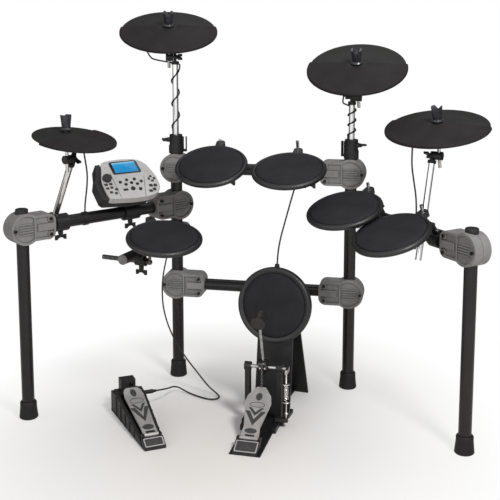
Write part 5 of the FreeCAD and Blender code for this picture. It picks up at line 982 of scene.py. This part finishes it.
def add_hub_bolts():
    """Two hex bolts in the front of the beater's hub."""
    bolts = bmesh.new()
    profile = softened([(0, 0), (4.2, 0), (4.2, 4, 1), (2, 5, 1), (0, 5)])
    for spot in HUB_BOLTS:
        lathe_at(bolts, Matrix.Translation(spot) @ turn(90, "X"), profile, 6)
    hub_place = KICK_PEDAL @ Matrix.Translation((0, 0, AXLE_HEIGHT)) @ turn(BEATER_LEAN, "X")
    piece("kick_hub_bolts", bolts, hub_place, CHROME, "kick_beater", "chrome")


add_board_inlays("kick_board_inlays", KICK_BOARD, "kick_footboard", stretch=0.74, width=1.08)
add_board_inlays("hihat_board_inlays", HIHAT_BOARD, "hihat_footboard", stretch=1.0, width=1.0)
add_heel("kick_heel", KICK_PEDAL, width=66, front=-239, back=-200, low=9, high=27)
add_heel("hihat_heel", PEDAL_PLACE, width=58, front=0, back=28, low=9, high=25)
add_pedal_ribs()
add_hub_bolts()
add_chain()
add_spring()

# CAD nodes that keep their own shape.

# Reach of the beater's hub about its axle and half its width, and how far out its head begins.
HUB_REACH, HUB_HALF, BEATER_HEAD = 26, 15, 155
# Where the snare boom starts, its heading, and how near its line a cap counts as the boom's plug.
SNARE_BOOM, SNARE_WAY, PLUG_REACH = Vector((-297, 240, 492)), 256.4, 30
# How near a rod's line a fitting counts as bright rod.
ROD_REACH = 5.2


def beater_finish():
    """Bright axle and rod, a black hub between them and a dark moulded head at the far end."""
    material, tree, shader, coords = new_tree("beater_finish")
    centre = KICK_AT + Z * AXLE_HEIGHT
    axle = KICK_PEDAL.to_3x3() @ X
    away = distance_from_line(tree, coords, centre, axle)
    head = math_node(tree, "GREATER_THAN", away, BEATER_HEAD * MM)
    close = math_node(tree, "LESS_THAN", away, HUB_REACH * MM)
    within = math_node(tree, "LESS_THAN", along_line(tree, coords, centre, axle), HUB_HALF * MM)
    dark = math_node(tree, "MAXIMUM", head, math_node(tree, "MULTIPLY", close, within))
    black = mottled(tree, coords, 6, "1d1a1a", "2d2828")
    bright = mottled(tree, coords, 14, "a9a7a6", "d6d4d3", (0.3, 0.7))
    fine = noise(tree, coords, 0.8)
    rough = math_node(tree, "ADD", spread(tree, fine, 0.26, 0.36), math_node(tree, "MULTIPLY", dark, 0.04))
    feed_all(tree, shader, {"Base Color": blended(tree, dark, bright, black), "Roughness": rough,
                            "Metallic": math_node(tree, "SUBTRACT", 1, dark)})
    bumped(tree, shader, fine, 0.05)
    return material


def cap_finish():
    """Black tube caps, and the grey plug in the end of the snare boom."""
    material, tree, shader, coords = new_tree("cap_finish")
    boom = Vector((math.cos(math.radians(SNARE_WAY)), math.sin(math.radians(SNARE_WAY)), 0))
    away = distance_from_line(tree, coords, SNARE_BOOM, boom)
    near = math_node(tree, "LESS_THAN", away, PLUG_REACH * MM)
    black = mottled(tree, coords, 20, "1c1a1b", "252324")
    grey = mottled(tree, coords, 12, "838080", "908d8d")
    fine = noise(tree, coords, 1.0)
    feed_all(tree, shader, {"Base Color": blended(tree, near, black, grey),
                            "Roughness": spread(tree, fine, 0.45, 0.62)})
    bumped(tree, shader, fine, 0.06)
    return material


# Each node's finish and the rounding of its edges; a node with no rounding keeps its own normals.
DRESSED = {
    "legs": (BLACK_TUBE, 0.6),
    "bars": (BLACK_TUBE, 0.6),
    "rubber_feet": (SOFT_BLACK, 1.2),
    "tube_caps": (cap_finish(), 1.2),
    "clamp_front_shells": (GREY_CLAMP, 1.0),
    "clamp_rear_shells": (GREY_CLAMP, 1.0),
    "clamp_screws": (SCREW, 0.4),
    "posts": (CHROME, 0.6),
    "post_fittings": (BLACK_FITTING, 1.0),
    "pad_grips": (BLACK_FITTING, 1.0),
    "wing_bolts": (WING_BLACK, 1.4),
    "module_mount": (BLACK_FITTING, 1.2),
    "kick_tower": (BLACK_STEEL, 1.0),
    "kick_pedal_base": (PEDAL_METAL, 1.0),
    "hihat_pedal_base": (PEDAL_BLACK, 2.0),
    "hihat_pedal_plug": (SOFT_BLACK, 0.8),
    "kick_footboard": (BOARD_METAL, 1.2),
    "hihat_footboard": (BOARD_METAL, 1.2),
    "kick_beater": (beater_finish(), 0.0),
    "module_base": (MODULE_GREY, 3.0),
    "module_keypad": (MODULE_KEYS, 0.8),
    "snare_rod": (STEEL, 0.8),
}


def dress_nodes():
    """Dress the CAD nodes that show, with a bright rod in each tilter arm and each straight pad rod."""
    for node, (material, rounding) in DRESSED.items():
        dress(node, material, rounding)
    for name, spot in CYMBALS.items():
        lean = turn(spot["heading"], "Z") @ turn(0 if name == "hihat" else spot["tilt"], "X")
        rod = rod_in_fitting(f"{name}_rod_finish", HINGE[f"{name}_rock"], lean.to_3x3() @ Z, ROD_REACH)
        dress(f"{name}_tilter_arm", rod, 1.0)
        dress(f"{name}_wing_nut", NUT_BLACK, 1.6)
    for name in PADS:
        if name == "snare":
            continue
        way = pad_lean(name).to_3x3() @ Z
        rod = rod_in_fitting(f"{name}_rod_finish", HINGE[f"{name}_tilt"], way, ROD_REACH)
        dress(f"{name}_rod", rod, 0.8)


dress_nodes()

# Floor, backdrop and light, in metres.

FLOOR_SIZE, FLOOR_LOW = 9, -0.0005
# Where the floor fades into the backdrop: an offset and a scale for an oval, and its inner and outer reach.
FADE_OFFSET, FADE_SCALE, FADE_START, FADE_END = (0.06, 0.2, 0), (1.1, 0.85, 1), 0.2, 0.95
# Depths over which the floor, as seen in reflections only, turns to a painted dark reflection behind the kit
# and a painted bright reflection ahead of it.
DARK_REFLECTION_DEPTHS, BRIGHT_REFLECTION_DEPTHS = (0.5, 1.5), (-4, -1)


def add_floor():
    mesh = bmesh.new()
    bmesh.ops.create_grid(mesh, x_segments=4, y_segments=4, size=FLOOR_SIZE)
    data = bpy.data.meshes.new("floor")
    mesh.to_mesh(data)
    mesh.free()
    floor = added("floor", data)
    floor.location = (0, 0, FLOOR_LOW)
    data.materials.append(floor_paper())


def floor_paper():
    material, tree, shader, coords = new_tree("floor_paper")
    mapping = tree.nodes.new("ShaderNodeMapping")
    feed_all(tree, mapping, {"Vector": coords, "Location": FADE_OFFSET, "Scale": FADE_SCALE})
    away = vector_node(tree, "LENGTH", mapping.outputs["Vector"])
    near = spread(tree, away, 1, 0, FADE_START, FADE_END)
    tone = mottled(tree, coords, 400, "f2eeea", "f5f2ee", (0.3, 0.7))
    path = tree.nodes.new("ShaderNodeLightPath")
    mirrored = path.outputs["Is Glossy Ray"]
    place = tree.nodes.new("ShaderNodeSeparateXYZ")
    tree.links.new(coords, place.inputs["Vector"])
    depth = place.outputs["Y"]
    # Painted dark reflection: behind the kit the floor's colour turns dark in reflections only.
    behind = math_node(tree, "MULTIPLY", mirrored, spread(tree, depth, 0, 0.9, *DARK_REFLECTION_DEPTHS))
    feed_all(tree, shader, {"Base Color": blended(tree, behind, tone, shade("2a2928")), "Roughness": 0.9,
                            "Specular IOR Level": 0.1})
    glow = tree.nodes.new("ShaderNodeEmission")
    glow.inputs["Color"].default_value = (1, 1, 1, 1)
    seen = math_node(tree, "MAXIMUM", path.outputs["Is Camera Ray"], path.outputs["Is Transmission Ray"])
    # Painted bright reflection: far ahead of the kit the floor glows white in reflections only.
    painted_bright_reflection = math_node(tree, "MULTIPLY", mirrored, spread(tree, depth, 1, 0, *BRIGHT_REFLECTION_DEPTHS))
    seen = math_node(tree, "MAXIMUM", seen, painted_bright_reflection)
    far = math_node(tree, "MULTIPLY", seen, math_node(tree, "SUBTRACT", 1, near))
    mix = tree.nodes.new("ShaderNodeMixShader")
    tree.links.new(far, mix.inputs["Fac"])
    tree.links.new(shader.outputs["BSDF"], mix.inputs[1])
    tree.links.new(glow.outputs["Emission"], mix.inputs[2])
    tree.links.new(mix.outputs["Shader"], tree.nodes["Material Output"].inputs["Surface"])
    return material


ROOM_LIGHT = 0.32
MIRRORED = ((0.0, 1.4), (0.1, 1.4), (0.22, 0.75), (0.45, 0.45), (0.75, 0.1))


def add_world():
    world = bpy.data.worlds.new("studio")
    scene.world = world
    world.use_nodes = True
    tree = world.node_tree
    background = tree.nodes["Background"]
    background.inputs["Color"].default_value = (1, 1, 1, 1)
    path = tree.nodes.new("ShaderNodeLightPath")
    seen = math_node(tree, "MAXIMUM", path.outputs["Is Camera Ray"], path.outputs["Is Transmission Ray"])
    way = tree.nodes.new("ShaderNodeSeparateXYZ")
    tree.links.new(tree.nodes.new("ShaderNodeTexCoord").outputs["Generated"], way.inputs["Vector"])
    stops = [(at, (glow, glow, glow, 1)) for at, glow in MIRRORED]
    mirrored = ramp(tree, spread(tree, way.outputs["Y"], 0, 1, -1, 1), stops)
    extra = math_node(tree, "SUBTRACT", mirrored, ROOM_LIGHT)
    soft = math_node(tree, "MULTIPLY", path.outputs["Is Glossy Ray"], extra)
    level = math_node(tree, "ADD", soft, ROOM_LIGHT)
    missing = math_node(tree, "SUBTRACT", 1, level)
    shown = math_node(tree, "ADD", level, math_node(tree, "MULTIPLY", seen, missing))
    tree.links.new(shown, background.inputs["Strength"])


LAMPS = {
    "key": {"at": (1.7, -2.0, 3.0), "size": 0.8, "power": 82},
    "fill": {"at": (-2.4, -2.0, 2.2), "size": 2.4, "power": 12},
    "top": {"at": (0.2, 0.9, 3.2), "size": 2.6, "power": 17},
}
LAMP_AIM = Vector((0, 0, 0.55))


def add_lamps():
    for name, lamp in LAMPS.items():
        data = bpy.data.lights.new(name, "AREA")
        data.shape = "DISK"
        data.size = lamp["size"]
        data.energy = lamp["power"]
        light = added(name, data)
        light.location = lamp["at"]
        light.rotation_euler = (LAMP_AIM - Vector(lamp["at"])).to_track_quat("-Z", "Y").to_euler()


add_floor()
add_world()
add_lamps()
